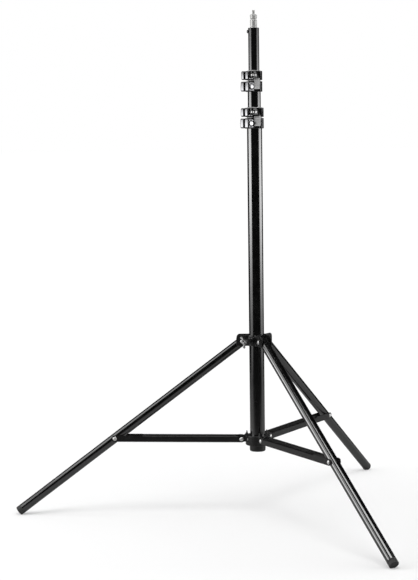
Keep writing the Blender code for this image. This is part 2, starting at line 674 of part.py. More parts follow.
def build_leg_collar(parts, cutters, finish):
    """The casting that slides on the outer tube, with a fork of two cheeks for each leg."""
    bore = OUTER_TUBE_RADIUS + TUBE_GAP
    top = LEG_COLLAR_BASE + LEG_COLLAR_HEIGHT
    edge = LEG_COLLAR_EDGE
    profile = [(bore, top), (LEG_COLLAR_RADIUS - edge, top), (LEG_COLLAR_RADIUS, top - edge),
               (LEG_COLLAR_RADIUS, LEG_COLLAR_BASE + edge),
               (LEG_COLLAR_RADIUS - edge, LEG_COLLAR_BASE), (bore, LEG_COLLAR_BASE)]
    collar = turned("leg_collar", profile, parts, finish["satin black"])
    inner = (LEG_COLLAR_RADIUS ** 2 - (CHEEK_OUTSIDE / 2) ** 2) ** 0.5 - edge
    low = LEG_COLLAR_BASE
    low_centre = (CHEEK_REACH - CHEEK_LOW_CORNER, low + CHEEK_LOW_CORNER)
    top_centre = (CHEEK_REACH - CHEEK_TOP_CORNER, top - CHEEK_TOP_CORNER)
    outline = [(inner, low)]
    outline += arc(low_centre, CHEEK_LOW_CORNER, -math.pi / 2, 0.0, CORNER_STEPS)
    outline += arc(top_centre, CHEEK_TOP_CORNER, 0.0, math.pi / 2, CORNER_STEPS)
    outline += [(inner, top)]
    for leg, azimuth in LEG_AZIMUTHS.items():
        turn = Matrix.Rotation(azimuth, 4, "Z")
        arm = flat_piece("arm_" + leg, outline, CHEEK_OUTSIDE, cutters)
        place(arm, turn @ upright_plane())
        carve(collar, arm, "UNION")
    boss = solid_rod("lock_boss", LOCK_BOSS_RADIUS, (bore + LEG_COLLAR_RADIUS) / 2,
                     LOCK_BOSS_REACH, cutters, facets=LEG_FACETS)
    middle = LEG_COLLAR_BASE + LEG_COLLAR_HEIGHT / 2
    lock_frame = Matrix.Translation((0, 0, middle)) @ radial(LOCK_AZIMUTH)
    place(boss, lock_frame)
    carve(collar, boss, "UNION")
    for leg, azimuth in LEG_AZIMUTHS.items():
        turn = Matrix.Rotation(azimuth, 4, "Z")
        over = LEG_COLLAR_HEIGHT
        fork = block("fork_" + leg, (POCKET_RADIUS, -CHEEK_INSIDE / 2, low - over),
                     (CHEEK_REACH + over, CHEEK_INSIDE / 2, top + over), cutters)
        place(fork, turn)
        carve(collar, fork)
        hole = cutting_rod("cheek_hole_" + leg, RIVET_DIAMETER / 2 + PIN_GAP,
                           -CHEEK_OUTSIDE, CHEEK_OUTSIDE, cutters)
        place(hole, turn @ Matrix.Translation((LEG_PIVOT_RADIUS, 0, LEG_PIVOT_HEIGHT)) @ along_y())
        carve(collar, hole)
    inside = cutting_rod("leg_collar_bore", bore, low - LEG_COLLAR_HEIGHT,
                         top + LEG_COLLAR_HEIGHT, cutters, facets=TUBE_FACETS)
    carve(collar, inside)
    thread = cutting_rod("lock_screw_bore", LOCK_STUD_DIAMETER / 2 + PIN_GAP, 0.0,
                         LOCK_BOSS_REACH * 2, cutters)
    place(thread, lock_frame)
    carve(collar, thread)
    build_lock_screw(lock_frame, parts, cutters, finish)


def build_lock_screw(lock_frame, parts, cutters, finish):
    """The wing screw that presses a pad against the outer tube to lock the leg collar."""
    stud_radius = LOCK_STUD_DIAMETER / 2
    pad_inner = OUTER_TUBE_RADIUS + SEAT_GAP
    stud_inner = pad_inner + LOCK_PAD_THICKNESS + SEAT_GAP
    pad = solid_rod("lock_screw_pad", stud_radius, pad_inner, pad_inner + LOCK_PAD_THICKNESS,
                    parts, finish["brass"])
    place(pad, lock_frame)
    hub_base = LOCK_BOSS_REACH + TUBE_GAP
    hub_top = hub_base + LOCK_HUB_LENGTH
    wing_base = hub_top - LOCK_WING_LENGTH / 2
    hub_radius = LOCK_HUB_DIAMETER / 2
    hub = tube("lock_screw_hub", hub_radius, stud_radius + SEAT_GAP, hub_base,
               wing_base - SEAT_GAP, parts, finish["black plastic"], SMALL_FACETS)
    place(hub, lock_frame)

    half = LOCK_WING_SPAN / 2
    tip_radius = LOCK_WING_LENGTH / 4
    wing_top = wing_base + LOCK_WING_LENGTH
    right = [(hub_radius, wing_base)]
    right += arc((half - tip_radius, wing_top - tip_radius), tip_radius, -math.pi / 4,
                 3 * math.pi / 4, END_STEPS)
    right += [(stud_radius, (wing_base + wing_top) / 2)]
    outline = right + [(-x, y) for x, y in right[::-1]]
    wing = flat_piece("lock_screw_wing", outline, LOCK_WING_THICKNESS, parts, finish["steel"])
    wing.data.transform(upright_plane())
    stud = solid_rod("lock_stud", stud_radius, stud_inner, wing_base + tip_radius, cutters)
    carve(wing, stud, "UNION")
    turned_frame = lock_frame @ Matrix.Rotation(LOCK_WING_TURN, 4, "Z")
    place(wing, turned_frame)
    place(stud, turned_frame)


def build_clamp(prefix, base, outer_radius, inner_radius, parts, cutters, finish):
    """A two-ring clamp: the lower ring holds the wider tube, the upper one grips the inner.

    Pieces are made with the clamp's foot at height 0 and then raised to base. The ears stand
    out along the local X axis, and their bolts run along the local Y axis.
    """
    ring_radius = outer_radius + CLAMP_WALL
    liner_bore = inner_radius + LINER_GAP
    liner_radius = liner_bore + LINER_WALL
    frame = frame_empty(prefix + "_frame",
                        Matrix.Translation((0, 0, base)) @ Matrix.Rotation(EAR_AZIMUTH, 4, "Z"),
                        None, parts)
    build_clamp_body(prefix, frame, ring_radius, outer_radius, liner_radius, parts, cutters, finish)
    build_clamp_liner(prefix, frame, liner_bore, liner_radius, parts, cutters, finish)
    build_clamp_bolts(prefix, frame, ring_radius, parts, cutters, finish)
    build_clamp_lever(prefix, frame, ring_radius, parts, cutters, finish)


def build_clamp_body(prefix, frame, ring_radius, outer_radius, liner_radius, parts, cutters, finish):
    """The chrome casting: two rings joined by a spine, each split between two ears."""
    name = prefix + "_body"
    edge = CLAMP_EDGE
    profile = [(0.0, CLAMP_HEIGHT), (ring_radius - edge, CLAMP_HEIGHT),
               (ring_radius, CLAMP_HEIGHT - edge), (ring_radius, edge),
               (ring_radius - edge, 0.0), (0.0, 0.0)]
    body = turned(name, profile, parts, finish["chrome"], closed=False)
    place(body, Matrix.Identity(4), frame)
    slit_middle = CLAMP_LOWER_RING + CLAMP_SLIT / 2
    half = EAR_WIDTH / 2
    start = outer_radius / 2
    for ear, low, high, reach in (("lower", EAR_STEP, slit_middle, LOWER_EAR_REACH),
                                  ("upper", slit_middle, CLAMP_HEIGHT - EAR_STEP, UPPER_EAR_REACH)):
        ears = block(f"{name}_{ear}_ears", (start, -half, low), (ring_radius + reach, half, high),
                     cutters, edge=EAR_EDGE)
        place(ears, Matrix.Identity(4), frame)
        carve(body, ears, "UNION")
    spine_turn = SPINE_AZIMUTH - EAR_AZIMUTH
    chord = ring_radius * math.sin(SPINE_SPREAD / 2)
    spine = block(name + "_spine", (start, -chord, SPINE_BASE),
                  (ring_radius + SPINE_PROUD, chord, SPINE_TOP), cutters, edge=edge)
    place(spine, Matrix.Rotation(spine_turn, 4, "Z"), frame)
    carve(body, spine, "UNION")

    reach = ring_radius * 3
    start_angle = spine_turn + SPINE_SPREAD / 2
    sector = arc((0.0, 0.0), reach, start_angle, start_angle + math.tau - SPINE_SPREAD,
                 SECTOR_STEPS)
    slit = flat_piece(name + "_slit", sector + [(0.0, 0.0)], CLAMP_SLIT, cutters)
    place(slit, Matrix.Translation((0, 0, slit_middle)), frame)
    carve(body, slit)
    lower_bore = cutting_rod(name + "_lower_bore", outer_radius + SEAT_GAP, -CLAMP_HEIGHT,
                             CLAMP_LOWER_RING + SEAT_GAP, cutters, facets=TUBE_FACETS)
    place(lower_bore, Matrix.Identity(4), frame)
    carve(body, lower_bore)
    upper_bore = cutting_rod(name + "_upper_bore", liner_radius + SEAT_GAP, CLAMP_LOWER_RING,
                             CLAMP_HEIGHT * 2, cutters, facets=TUBE_FACETS)
    place(upper_bore, Matrix.Identity(4), frame)
    carve(body, upper_bore)
    split = block(name + "_split", (0.0, -EAR_SPLIT / 2, -CLAMP_HEIGHT),
                  (reach, EAR_SPLIT / 2, CLAMP_HEIGHT * 2), cutters)
    place(split, Matrix.Identity(4), frame)
    carve(body, split)
    for bolt, setback, height in (("lower", LOWER_BOLT_SETBACK, LOWER_BOLT_HEIGHT),
                                  ("upper", UPPER_BOLT_SETBACK, UPPER_BOLT_HEIGHT)):
        distance = bolt_distance(ring_radius, bolt)
        hole = cutting_rod(f"{name}_{bolt}_bolt_hole", BOLT_DIAMETER / 2 + PIN_GAP,
                           -EAR_WIDTH, EAR_WIDTH, cutters)
        place(hole, Matrix.Translation((distance, 0, height)) @ along_y(), frame)
        carve(body, hole)


def bolt_distance(ring_radius, bolt):
    """How far a clamp bolt lies from the mast's axis: set back from its ear's end."""
    if bolt == "lower":
        return ring_radius + LOWER_EAR_REACH - LOWER_BOLT_SETBACK
    return ring_radius + UPPER_EAR_REACH - UPPER_BOLT_SETBACK


def build_clamp_liner(prefix, frame, liner_bore, liner_radius, parts, cutters, finish):
    """The split nylon sleeve that the upper ring squeezes on to the inner tube."""
    base = CLAMP_LOWER_RING + 2 * SEAT_GAP
    liner = tube(prefix + "_liner", liner_radius, liner_bore, base, CLAMP_HEIGHT + LINER_LIP,
                 parts, finish["nylon"])
    place(liner, Matrix.Identity(4), frame)
    split = block(prefix + "_liner_split", (0.0, -LINER_SPLIT / 2, 0.0),
                  (liner_radius * 2, LINER_SPLIT / 2, CLAMP_HEIGHT * 2), cutters)
    place(split, Matrix.Identity(4), frame)
    carve(liner, split)


def hex_nut(name, distance, height, frame, parts, cutters, finish):
    """A hexagon nut against the left ear."""
    face = -EAR_WIDTH / 2 - SEAT_GAP
    nut = solid_rod(name, NUT_ACROSS_CORNERS / 2, -NUT_THICKNESS, 0.0, parts, finish["steel"], 6)
    nut.modifiers["Turned"].use_smooth_shade = False
    place(nut, Matrix.Translation((distance, face, height)) @ along_y(), frame)
    hole = cutting_rod(name + "_hole", BOLT_DIAMETER / 2 + PIN_GAP, -NUT_THICKNESS * 2,
                       NUT_THICKNESS, cutters)
    place(hole, Matrix.Translation((distance, face, height)) @ along_y(), frame)
    carve(nut, hole)


def build_clamp_bolts(prefix, frame, ring_radius, parts, cutters, finish):
    """The bolt that fixes the lower ring, the tension bolt of the upper ring, and their nuts."""
    far_end = -EAR_WIDTH / 2 - SEAT_GAP - NUT_THICKNESS - BOLT_END
    distance = bolt_distance(ring_radius, "lower")
    head = BOLT_HEAD_DIAMETER / 2
    socket = BOLT_SOCKET_DIAMETER / 2
    face = EAR_WIDTH / 2 + SEAT_GAP
    crown = [(x, face + y) for x, y in dome(head, BOLT_HEAD) if x > socket]
    profile = [(0.0, face + BOLT_HEAD - BOLT_SOCKET_DEPTH),
               (socket, face + BOLT_HEAD - BOLT_SOCKET_DEPTH)]
    profile += [(socket, crown[0][1] + SEAT_GAP)] + crown
    profile += [(BOLT_DIAMETER / 2, face), (BOLT_DIAMETER / 2, far_end), (0.0, far_end)]
    bolt = turned(prefix + "_fixing_bolt", profile, parts, finish["chrome"], SMALL_FACETS,
                  closed=False)
    place(bolt, Matrix.Translation((distance, 0, LOWER_BOLT_HEIGHT)) @ along_y(), frame)
    hex_nut(prefix + "_fixing_nut", distance, LOWER_BOLT_HEIGHT, frame, parts, cutters, finish)

    distance = bolt_distance(ring_radius, "upper")
    lever_axis = EAR_WIDTH / 2 + SEAT_GAP + LEVER_BOSS_DIAMETER / 2
    eye = solid_rod(prefix + "_tension_bolt", EYE_DIAMETER / 2, -EYE_HEIGHT / 2, EYE_HEIGHT / 2,
                    parts, finish["steel"])
    place(eye, Matrix.Translation((distance, lever_axis, UPPER_BOLT_HEIGHT)), frame)
    shank = solid_rod(prefix + "_tension_shank", BOLT_DIAMETER / 2 - MERGE, far_end, lever_axis,
                      cutters)
    place(shank, Matrix.Translation((distance, 0, UPPER_BOLT_HEIGHT)) @ along_y(), frame)
    carve(eye, shank, "UNION")
    hole = cutting_rod(prefix + "_eye_hole", LEVER_PIN_DIAMETER / 2 + PIN_GAP, -EYE_HEIGHT,
                       EYE_HEIGHT, cutters)
    place(hole, Matrix.Translation((distance, lever_axis, UPPER_BOLT_HEIGHT)), frame)
    carve(eye, hole)
    hex_nut(prefix + "_tension_nut", distance, UPPER_BOLT_HEIGHT, frame, parts, cutters, finish)


def build_clamp_lever(prefix, frame, ring_radius, parts, cutters, finish):
    """The black lever that wraps the front of the upper ring, and its upright pin."""
    name = prefix + "_lever"
    distance = bolt_distance(ring_radius, "upper")
    lever_axis = EAR_WIDTH / 2 + SEAT_GAP + LEVER_BOSS_DIAMETER / 2
    inner = ring_radius + LEVER_RING_GAP
    outer = inner + LEVER_THICKNESS
    ear_face = EAR_WIDTH / 2 + SEAT_GAP
    start = math.asin(ear_face / inner)
    end = LEVER_END - EAR_AZIMUTH
    boss_radius = LEVER_BOSS_DIAMETER / 2
    outline = arc((0.0, 0.0), inner, end, start, WRAP_STEPS)
    outline += arc((distance, lever_axis), boss_radius, -math.pi / 2, LEVER_BOSS_WRAP, WRAP_STEPS)
    outline += arc((0.0, 0.0), outer, end - LEVER_PLAIN_SPREAD, end, END_STEPS)
    middle = LEVER_BASE + LEVER_HEIGHT / 2
    lever = flat_piece(name, outline, LEVER_HEIGHT, parts, finish["black plastic"])
    lever.data.transform(Matrix.Translation((-distance, -lever_axis, 0)))
    place(lever, Matrix.Translation((distance, lever_axis, middle)), frame)
    slot_radius = math.hypot(boss_radius, BOLT_DIAMETER / 2) + SEAT_GAP
    slot = cutting_rod(name + "_slot", slot_radius, -LEVER_SLOT_HEIGHT / 2,
                       LEVER_SLOT_HEIGHT / 2, cutters, facets=LEG_FACETS)
    place(slot, Matrix.Translation((distance, lever_axis, UPPER_BOLT_HEIGHT)), frame)
    carve(lever, slot)
    hole = cutting_rod(name + "_pin_hole", LEVER_PIN_DIAMETER / 2 + PIN_GAP, -LEVER_HEIGHT,
                       LEVER_HEIGHT, cutters)
    place(hole, Matrix.Translation((distance, lever_axis, middle)), frame)
    carve(lever, hole)
    pin = solid_rod(name + "_pin", LEVER_PIN_DIAMETER / 2, LEVER_BASE, LEVER_BASE + LEVER_HEIGHT,
                    parts, finish["steel"])
    place(pin, Matrix.Translation((distance, lever_axis, 0)), frame)


def main():
    clear_scene()
    parts = new_collection("Light stand")
    cutters = new_collection("Cutters")
    finish = make_materials()
    build_mast_tubes(parts, cutters, finish)
    build_bush("middle_tube", OUTER_TUBE_RADIUS - OUTER_TUBE_WALL,
               MIDDLE_TUBE_RADIUS - MIDDLE_TUBE_WALL, MIDDLE_TUBE_BASE, parts, finish)
    build_bush("top_tube", MIDDLE_TUBE_RADIUS - MIDDLE_TUBE_WALL,
               TOP_TUBE_RADIUS - TOP_TUBE_WALL, TOP_TUBE_BASE, parts, finish)
    build_spigot(parts, cutters, finish)
    build_lower_collar(parts, cutters, finish)
    build_leg_collar(parts, cutters, finish)
    for leg, azimuth in LEG_AZIMUTHS.items():
        build_leg_set(leg, azimuth, parts, cutters, finish)
    build_clamp("lower_clamp", LOWER_CLAMP_BASE, OUTER_TUBE_RADIUS, MIDDLE_TUBE_RADIUS,
                parts, cutters, finish)
    build_clamp("upper_clamp", UPPER_CLAMP_BASE, MIDDLE_TUBE_RADIUS, TOP_TUBE_RADIUS,
                parts, cutters, finish)
    bpy.context.view_layer.update()


main()
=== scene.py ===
"""Looks of a folding light stand: lacquered tubes, black chrome clamps, painted castings, bent braces.

Lengths are metres in the frame's own axes: the mast stands on +Z, leg A points along -X.
"""
import json
import math

import bmesh
import bpy
import numpy as np
from mathutils import Matrix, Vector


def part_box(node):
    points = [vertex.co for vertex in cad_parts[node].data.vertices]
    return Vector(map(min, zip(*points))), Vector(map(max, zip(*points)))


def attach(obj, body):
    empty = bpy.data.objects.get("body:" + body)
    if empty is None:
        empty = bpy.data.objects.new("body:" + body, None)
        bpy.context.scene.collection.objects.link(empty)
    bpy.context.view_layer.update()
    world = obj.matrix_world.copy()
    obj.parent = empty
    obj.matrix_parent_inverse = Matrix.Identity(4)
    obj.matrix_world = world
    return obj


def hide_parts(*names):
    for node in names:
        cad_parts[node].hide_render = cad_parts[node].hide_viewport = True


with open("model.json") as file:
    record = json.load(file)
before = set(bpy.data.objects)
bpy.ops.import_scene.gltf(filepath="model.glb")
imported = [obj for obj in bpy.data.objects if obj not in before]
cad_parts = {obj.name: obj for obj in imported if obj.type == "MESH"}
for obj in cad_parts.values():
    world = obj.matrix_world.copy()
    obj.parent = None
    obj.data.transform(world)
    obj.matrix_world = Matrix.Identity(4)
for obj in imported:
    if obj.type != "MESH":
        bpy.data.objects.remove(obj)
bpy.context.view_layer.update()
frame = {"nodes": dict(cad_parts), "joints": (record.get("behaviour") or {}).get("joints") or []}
JOINTS = {joint["name"]: joint for joint in frame["joints"]}


def half_span(node, axis):
    """Half the size of a node's box along one axis."""
    low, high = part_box(node)
    return (high[axis] - low[axis]) / 2


# Places and sizes read from the frame
FLOOR_HEIGHT = min(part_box("foot_" + leg)[0].z for leg in "abc")
OUTER_TUBE_RADIUS = half_span("outer_tube", 0)
MIDDLE_TUBE_RADIUS = half_span("middle_tube", 0)
TOP_TUBE_RADIUS = half_span("top_tube", 0)
LEG_RADIUS = half_span("leg_a", 1)
TOP_TUBE_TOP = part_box("top_tube")[1].z
LOWER_COLLAR_BASE, LOWER_COLLAR_TOP = (corner.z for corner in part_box("lower_collar"))
LEG_COLLAR_BASE, LEG_COLLAR_TOP = (corner.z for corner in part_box("leg_collar"))
BRACE_PIVOT_RADIUS = -JOINTS["brace_a_fold"]["pos_m"][0]
BRACE_PIVOT_HEIGHT = JOINTS["brace_a_fold"]["pos_m"][2]
LEG_JOINT_RADIUS = -JOINTS["leg_a_fold"]["pos_m"][0]
LEG_JOINT_HEIGHT = JOINTS["leg_a_fold"]["pos_m"][2]
LOCK_HEIGHT = JOINTS["lock_screw_turn"]["pos_m"][2]
LEG_AZIMUTHS = {"a": math.radians(180), "b": math.radians(-60), "c": math.radians(60)}
LEG_ANGLE = math.radians(52.95)
BRACE_LENGTH = math.hypot(LEG_JOINT_RADIUS - BRACE_PIVOT_RADIUS, LEG_JOINT_HEIGHT - BRACE_PIVOT_HEIGHT)
BRACE_SLOPE = math.atan2(LEG_JOINT_HEIGHT - BRACE_PIVOT_HEIGHT, LEG_JOINT_RADIUS - BRACE_PIVOT_RADIUS)

# Camera, solved from the mast, the feet and the rivets
CAMERA_PLACE = (0.0417, -3.8058, 0.7594)
CAMERA_YAW = math.radians(-2.284)
CAMERA_PITCH = math.radians(5.670)
CAMERA_ROLL = math.radians(-0.735)
CAMERA_LENS = 67.8
SENSOR_HEIGHT = 24.0

# How fine the surfaces are
TUBE_COLUMNS = 96
SMALL_COLUMNS = 48
CORNER_STEPS = 6
MERGE = 2e-6
HOLD = 0.00025
SHARP_ANGLE = math.radians(38)
FULL_TURN = 2 * math.pi
FINE_TURN = np.linspace(0, FULL_TURN, SMALL_COLUMNS * 2 + 1)


# Surfaces

def grid_quads(rows, columns):
    """Corner numbers of the quads of a grid whose points are stored row by row."""
    first = (np.arange(rows - 1)[:, None] * columns + np.arange(columns - 1)[None, :]).ravel()
    return np.stack([first, first + 1, first + columns + 1, first + columns], axis=1)


def grid_shell(points, uv=None):
    """A (rows, columns, 3) grid of points as (points, quads, uv)."""
    rows, columns = points.shape[:2]
    if uv is None:
        uv = np.zeros((rows, columns, 2))
    return points.reshape(-1, 3), grid_quads(rows, columns), uv.reshape(-1, 2)


def grid(*parts):
    """The coordinates of a grid of points, each part spread over the whole grid."""
    return np.stack(np.broadcast_arrays(*parts), axis=-1)


def spun(radius, height, angle, uv=None):
    """Rows of points (r cos a, r sin a, z) round Z as a shell."""
    return grid_shell(grid(radius * np.cos(angle), radius * np.sin(angle), height), uv)


def arc(radius, start, end, count, x=0.0, y=0.0):
    """Points of an arc round (x, y)."""
    turn = np.linspace(start, end, count)
    return np.stack([x + radius * np.cos(turn), y + radius * np.sin(turn)], axis=1)


def run_lengths(line):
    """How far each point of a line lies along it."""
    steps = np.linalg.norm(np.diff(line, axis=0), axis=1)
    return np.concatenate([[0.0], np.cumsum(steps)])


def moved(shell, matrix):
    """The shell with every point p at matrix * p."""
    points, quads, uv = shell
    turn = np.array(matrix)
    return points @ turn[:3, :3].T + turn[:3, 3], quads, uv


def rounded(corners, radii, steps=CORNER_STEPS):
    """A line through corners, each replaced by an arc that touches both of its sides.

    A corner's arc of radius r starts r / tan(half its angle) before it; radius 0 keeps it sharp.
    """
    corners = np.asarray(corners, float)
    line = [corners[0]]
    for index in range(1, len(corners) - 1):
        corner, radius = corners[index], radii[index - 1]
        if radius == 0:
            line.append(corner)
            continue
        back = corners[index - 1] - corner
        ahead = corners[index + 1] - corner
        back /= np.linalg.norm(back)
        ahead /= np.linalg.norm(ahead)
        half = math.acos(np.clip(back @ ahead, -1, 1)) / 2
        middle = (back + ahead) / np.linalg.norm(back + ahead)
        centre = corner + middle * radius / math.sin(half)
        start = corner + back * radius / math.tan(half) - centre
        end = corner + ahead * radius / math.tan(half) - centre
        sweep = math.pi - 2 * half
        share = np.linspace(0, 1, steps + 1)[:, None]
        line.extend(centre + (np.sin((1 - share) * sweep) * start + np.sin(share * sweep) * end)
                    / math.sin(sweep))
    line.append(corners[-1])
    return np.array(line)


def held(line):
    """The line with two more points on each long straight run, HOLD from its ends.

    They keep the run shading flat.
    """
    points = [line[0]]
    for start, end in zip(line[:-1], line[1:]):
        length = np.linalg.norm(end - start)
        if length > 4 * HOLD:
            points.extend([start + (end - start) * HOLD / length, end - (end - start) * HOLD / length])
        points.append(end)
    return np.array(points)


def turned(profile, columns=SMALL_COLUMNS, place=None, flutes=0, flute_depth=0.0):
    """A profile of (radius r, height z) turned round Z: (r cos a, r sin a, z).

    Flutes press r in by flute_depth * (1 - cos(flutes a)) / 2.
    """
    profile = held(np.asarray(profile, float))
    angle = np.linspace(0, FULL_TURN, columns + 1)
    radius = profile[:, 0, None] * np.ones_like(angle)
    if flutes:
        dip = flute_depth * (1 - np.cos(flutes * angle)) / 2
        radius = np.maximum(radius - dip * (profile[:, 0, None] > 0.6 * profile[:, 0].max()), 0)
    uv = grid(angle * profile[:, 0].max(), run_lengths(profile)[:, None])
    shell = spun(radius, profile[:, 1, None], angle, uv)
    return shell if place is None else moved(shell, place)


def domed(radius, height, rim=0.0004, steps=10):
    """The profile of a domed head: a spherical cap on a thin upright rim, from the crown out."""
    rise = height - rim
    ball = (radius ** 2 + rise ** 2) / (2 * rise)
    tilt = np.linspace(0, math.asin(radius / ball), steps + 1)
    cap = np.stack([ball * np.sin(tilt), ball * np.cos(tilt) - ball + height], axis=1)
    return np.concatenate([cap, [[radius, 0.0]]])


def hexagon(angle, across_corners):
    """The radius of a hexagon at each angle: flat / cos(angle from the flat's middle)."""
    flat = across_corners / 2 * math.cos(math.pi / 6)
    return flat / np.cos(np.mod(angle, math.pi / 3) - math.pi / 6)


def hex_nut(across_corners, thickness, bore, place):
    """A nut: r = the lower of the hexagon and a cone that chamfers its corners, then its bore."""
    height = np.linspace(0, thickness, 13)[:, None]
    cone = across_corners / 2 * 0.90 + np.minimum(height, thickness - height) * 1.7
    side = np.minimum(hexagon(FINE_TURN, across_corners), cone)
    face, hole = (np.full((1, FINE_TURN.size), size) for size in (across_corners / 2 * 0.86, bore))
    radius = np.concatenate([hole, face, side, face, hole, hole])
    level = np.concatenate([[[0.0], [0.0]], height, [[thickness], [thickness], [0.0]]])
    return moved(spun(radius, level, FINE_TURN), place)


def socket_head(radius, height, socket, depth, place):
    """A button head whose dome runs in to a hexagon socket that sinks straight down."""
    ball = (radius ** 2 + height ** 2) / (2 * height)
    mouth = hexagon(FINE_TURN, socket)
    sweep = radius + (mouth - radius) * np.linspace(0, 1, 12)[:, None]
    crown = np.sqrt(ball ** 2 - sweep ** 2) - ball + height
    flat = np.ones((1, FINE_TURN.size))
    reach = np.concatenate([0 * flat, radius * flat, sweep, mouth[None, :], 0 * flat])
    floor = (height - depth) * flat
    level = np.concatenate([0 * flat, 0 * flat, crown, floor, floor])
    return moved(spun(reach, level, FINE_TURN), place)


def rod(radius, base, top, edge, place=None, columns=SMALL_COLUMNS):
    """A round bar with rounded ends."""
    line = rounded([(0, top), (radius, top), (radius, base), (0, base)], [edge, edge])
    return turned(line, columns, place)


def pipe(radius, bore, base, top, lip, place=None, columns=TUBE_COLUMNS):
    """A tube whose two mouths have rounded lips."""
    middle = (base + top) / 2
    line = rounded([(radius, middle), (radius, top), (bore, top), (bore, base), (radius, base),
                    (radius, middle)], [lip] * 4)
    return turned(line, columns, place)


def thread(radius, base, top, pitch, depth, columns=SMALL_COLUMNS):
    """A screw thread: r = radius - depth * a triangle wave of (z / pitch - a / one turn)."""
    angle = np.linspace(0, FULL_TURN, columns + 1)
    rows = int((top - base) / pitch * 10)
    height = np.linspace(base, top, rows)[:, None] * np.ones_like(angle)
    phase = np.mod(height / pitch - angle / FULL_TURN, 1.0)
    groove = np.clip(1.25 - np.abs(phase - 0.5) * 3, 0, 1) * depth
    fade = np.clip(np.minimum(height - base, top - height) / pitch, 0, 1)
    nose = np.clip((height - top + pitch * 0.6) / (pitch * 0.6), 0, 1) * depth * 1.3
    reach = np.concatenate([radius - groove * fade - nose, np.zeros((1, angle.size))])
    return spun(reach, np.concatenate([height, np.full((1, angle.size), top)]), angle)


# Castings: level surfaces of a distance that is negative inside

def united(one, other, blend):
    """The lower of two distances, with a fillet about as large as blend where they meet."""
    share = np.clip(0.5 + 0.5 * (other - one) / blend, 0, 1)
    return other + (one - other) * share - blend * share * (1 - share)


def common(one, other, blend):
    """The higher of two distances, its edge rounded."""
    return -united(-one, -other, blend)


def cut(solid, tool, blend):
    """solid with tool taken away, the edge rounded."""
    return -united(-solid, tool, blend)


def facing(x, y, turn):
    """How far points lie along a direction in plan, and how far to its left."""
    return x * math.cos(turn) + y * math.sin(turn), -x * math.sin(turn) + y * math.cos(turn)


def span(low, high):
    """The middle of a range, and half its length."""
    return (low + high) / 2, (high - low) / 2


def box_distance(x, y, half_x, half_y, corner):
    """Distance to a rectangle with rounded corners."""
    over_x, over_y = np.abs(x) - half_x + corner, np.abs(y) - half_y + corner
    outside = np.hypot(np.maximum(over_x, 0), np.maximum(over_y, 0))
    return outside + np.minimum(np.maximum(over_x, over_y), 0) - corner


def thick(flat, depth, half, edge):
    """A flat shape's distance made solid: half thick each way, its rim rounded by edge."""
    side, end = flat + edge, np.abs(depth) - half + edge
    outside = np.hypot(np.maximum(side, 0), np.maximum(end, 0))
    return outside + np.minimum(np.maximum(side, end), 0) - edge


def outline_distance(x, y, outline):
    """Distance to a closed outline: the nearest of its sides, negative where a ray crosses oddly."""
    outline = np.asarray(outline, float)
    nearest = np.full(x.shape, np.inf)
    inside = np.zeros(x.shape, bool)
    for start, end in zip(outline, np.roll(outline, -1, axis=0)):
        side = end - start
        off_x, off_y = x - start[0], y - start[1]
        share = np.clip((off_x * side[0] + off_y * side[1]) / (side @ side + 1e-18), 0, 1)
        gap = (off_x - side[0] * share) ** 2 + (off_y - side[1] * share) ** 2
        nearest = np.minimum(nearest, gap)
        if side[1] != 0:
            crossing = start[0] + side[0] * off_y / side[1]
            inside ^= ((start[1] > y) != (end[1] > y)) & (x < crossing)
    return np.where(inside, -1, 1) * np.sqrt(nearest)


def settle(points, distance, rounds):
    """Moves points on to the level surface: p - d * slope / slope squared, a few times."""
    reach = 1e-5
    for _ in range(rounds):
        value = distance(*points.T)
        slope = np.empty_like(points)
        for axis in range(3):
            step = np.zeros(3)
            step[axis] = reach
            slope[:, axis] = (distance(*(points + step).T) - distance(*(points - step).T)) / (2 * reach)
        points = points - slope * (value / np.maximum((slope ** 2).sum(axis=1), 0.25))[:, None]
    return points


def level_shell(distance, low, high, step):
    """The surface where a distance is nought, for castings whose forms run into each other.

    A block of cells is laid over the piece. Each cell that the surface crosses gets one point, and
    each cell edge that it crosses gets a quad between the four cells round it. The points are then
    evened out between their neighbours and settled on the surface, so the grid leaves no trace.
    """
    axes = [np.arange(start, end + step, step) for start, end in zip(low, high)]
    inside = distance(*np.meshgrid(*axes, indexing="ij")) < 0
    count = sum(inside[i:inside.shape[0] - 1 + i, j:inside.shape[1] - 1 + j, k:inside.shape[2] - 1 + k]
                .astype(np.int8) for i in (0, 1) for j in (0, 1) for k in (0, 1))
    crossed = (count > 0) & (count < 8)
    number = np.full(crossed.shape, -1)
    number[crossed] = np.arange(crossed.sum())
    cells = np.argwhere(crossed)
    points = np.array(low) + (cells + 0.5) * step
    quads = []
    for axis in range(3):
        near, far = np.moveaxis(inside, axis, 0), np.moveaxis(number, axis, 0)
        change = near[:-1, 1:-1, 1:-1] != near[1:, 1:-1, 1:-1]
        where = np.argwhere(change)
        i, j, k = where[:, 0], where[:, 1] + 1, where[:, 2] + 1
        quads.append(np.stack([far[i, j - 1, k - 1], far[i, j, k - 1], far[i, j, k],
                               far[i, j - 1, k]], axis=1))
    quads = np.concatenate(quads)
    points = settle(points, distance, 3)
    sides = np.concatenate([quads[:, [0, 1]], quads[:, [1, 2]], quads[:, [2, 3]], quads[:, [3, 0]]])
    sides = np.concatenate([sides, sides[:, ::-1]])
    share = np.bincount(sides[:, 0], minlength=len(points)).clip(1)[:, None]
    for _ in range(3):
        total = np.stack([np.bincount(sides[:, 0], weights=points[sides[:, 1], axis],
                                      minlength=len(points)) for axis in range(3)], axis=1)
        points = settle(points * 0.4 + total / share * 0.6, distance, 2)
    return points, quads, np.zeros((len(points), 2))


# Pieces

def new_object(name, data):
    """A new object, placed in the scene."""
    made = bpy.data.objects.new(name, data)
    bpy.context.scene.collection.objects.link(made)
    return made


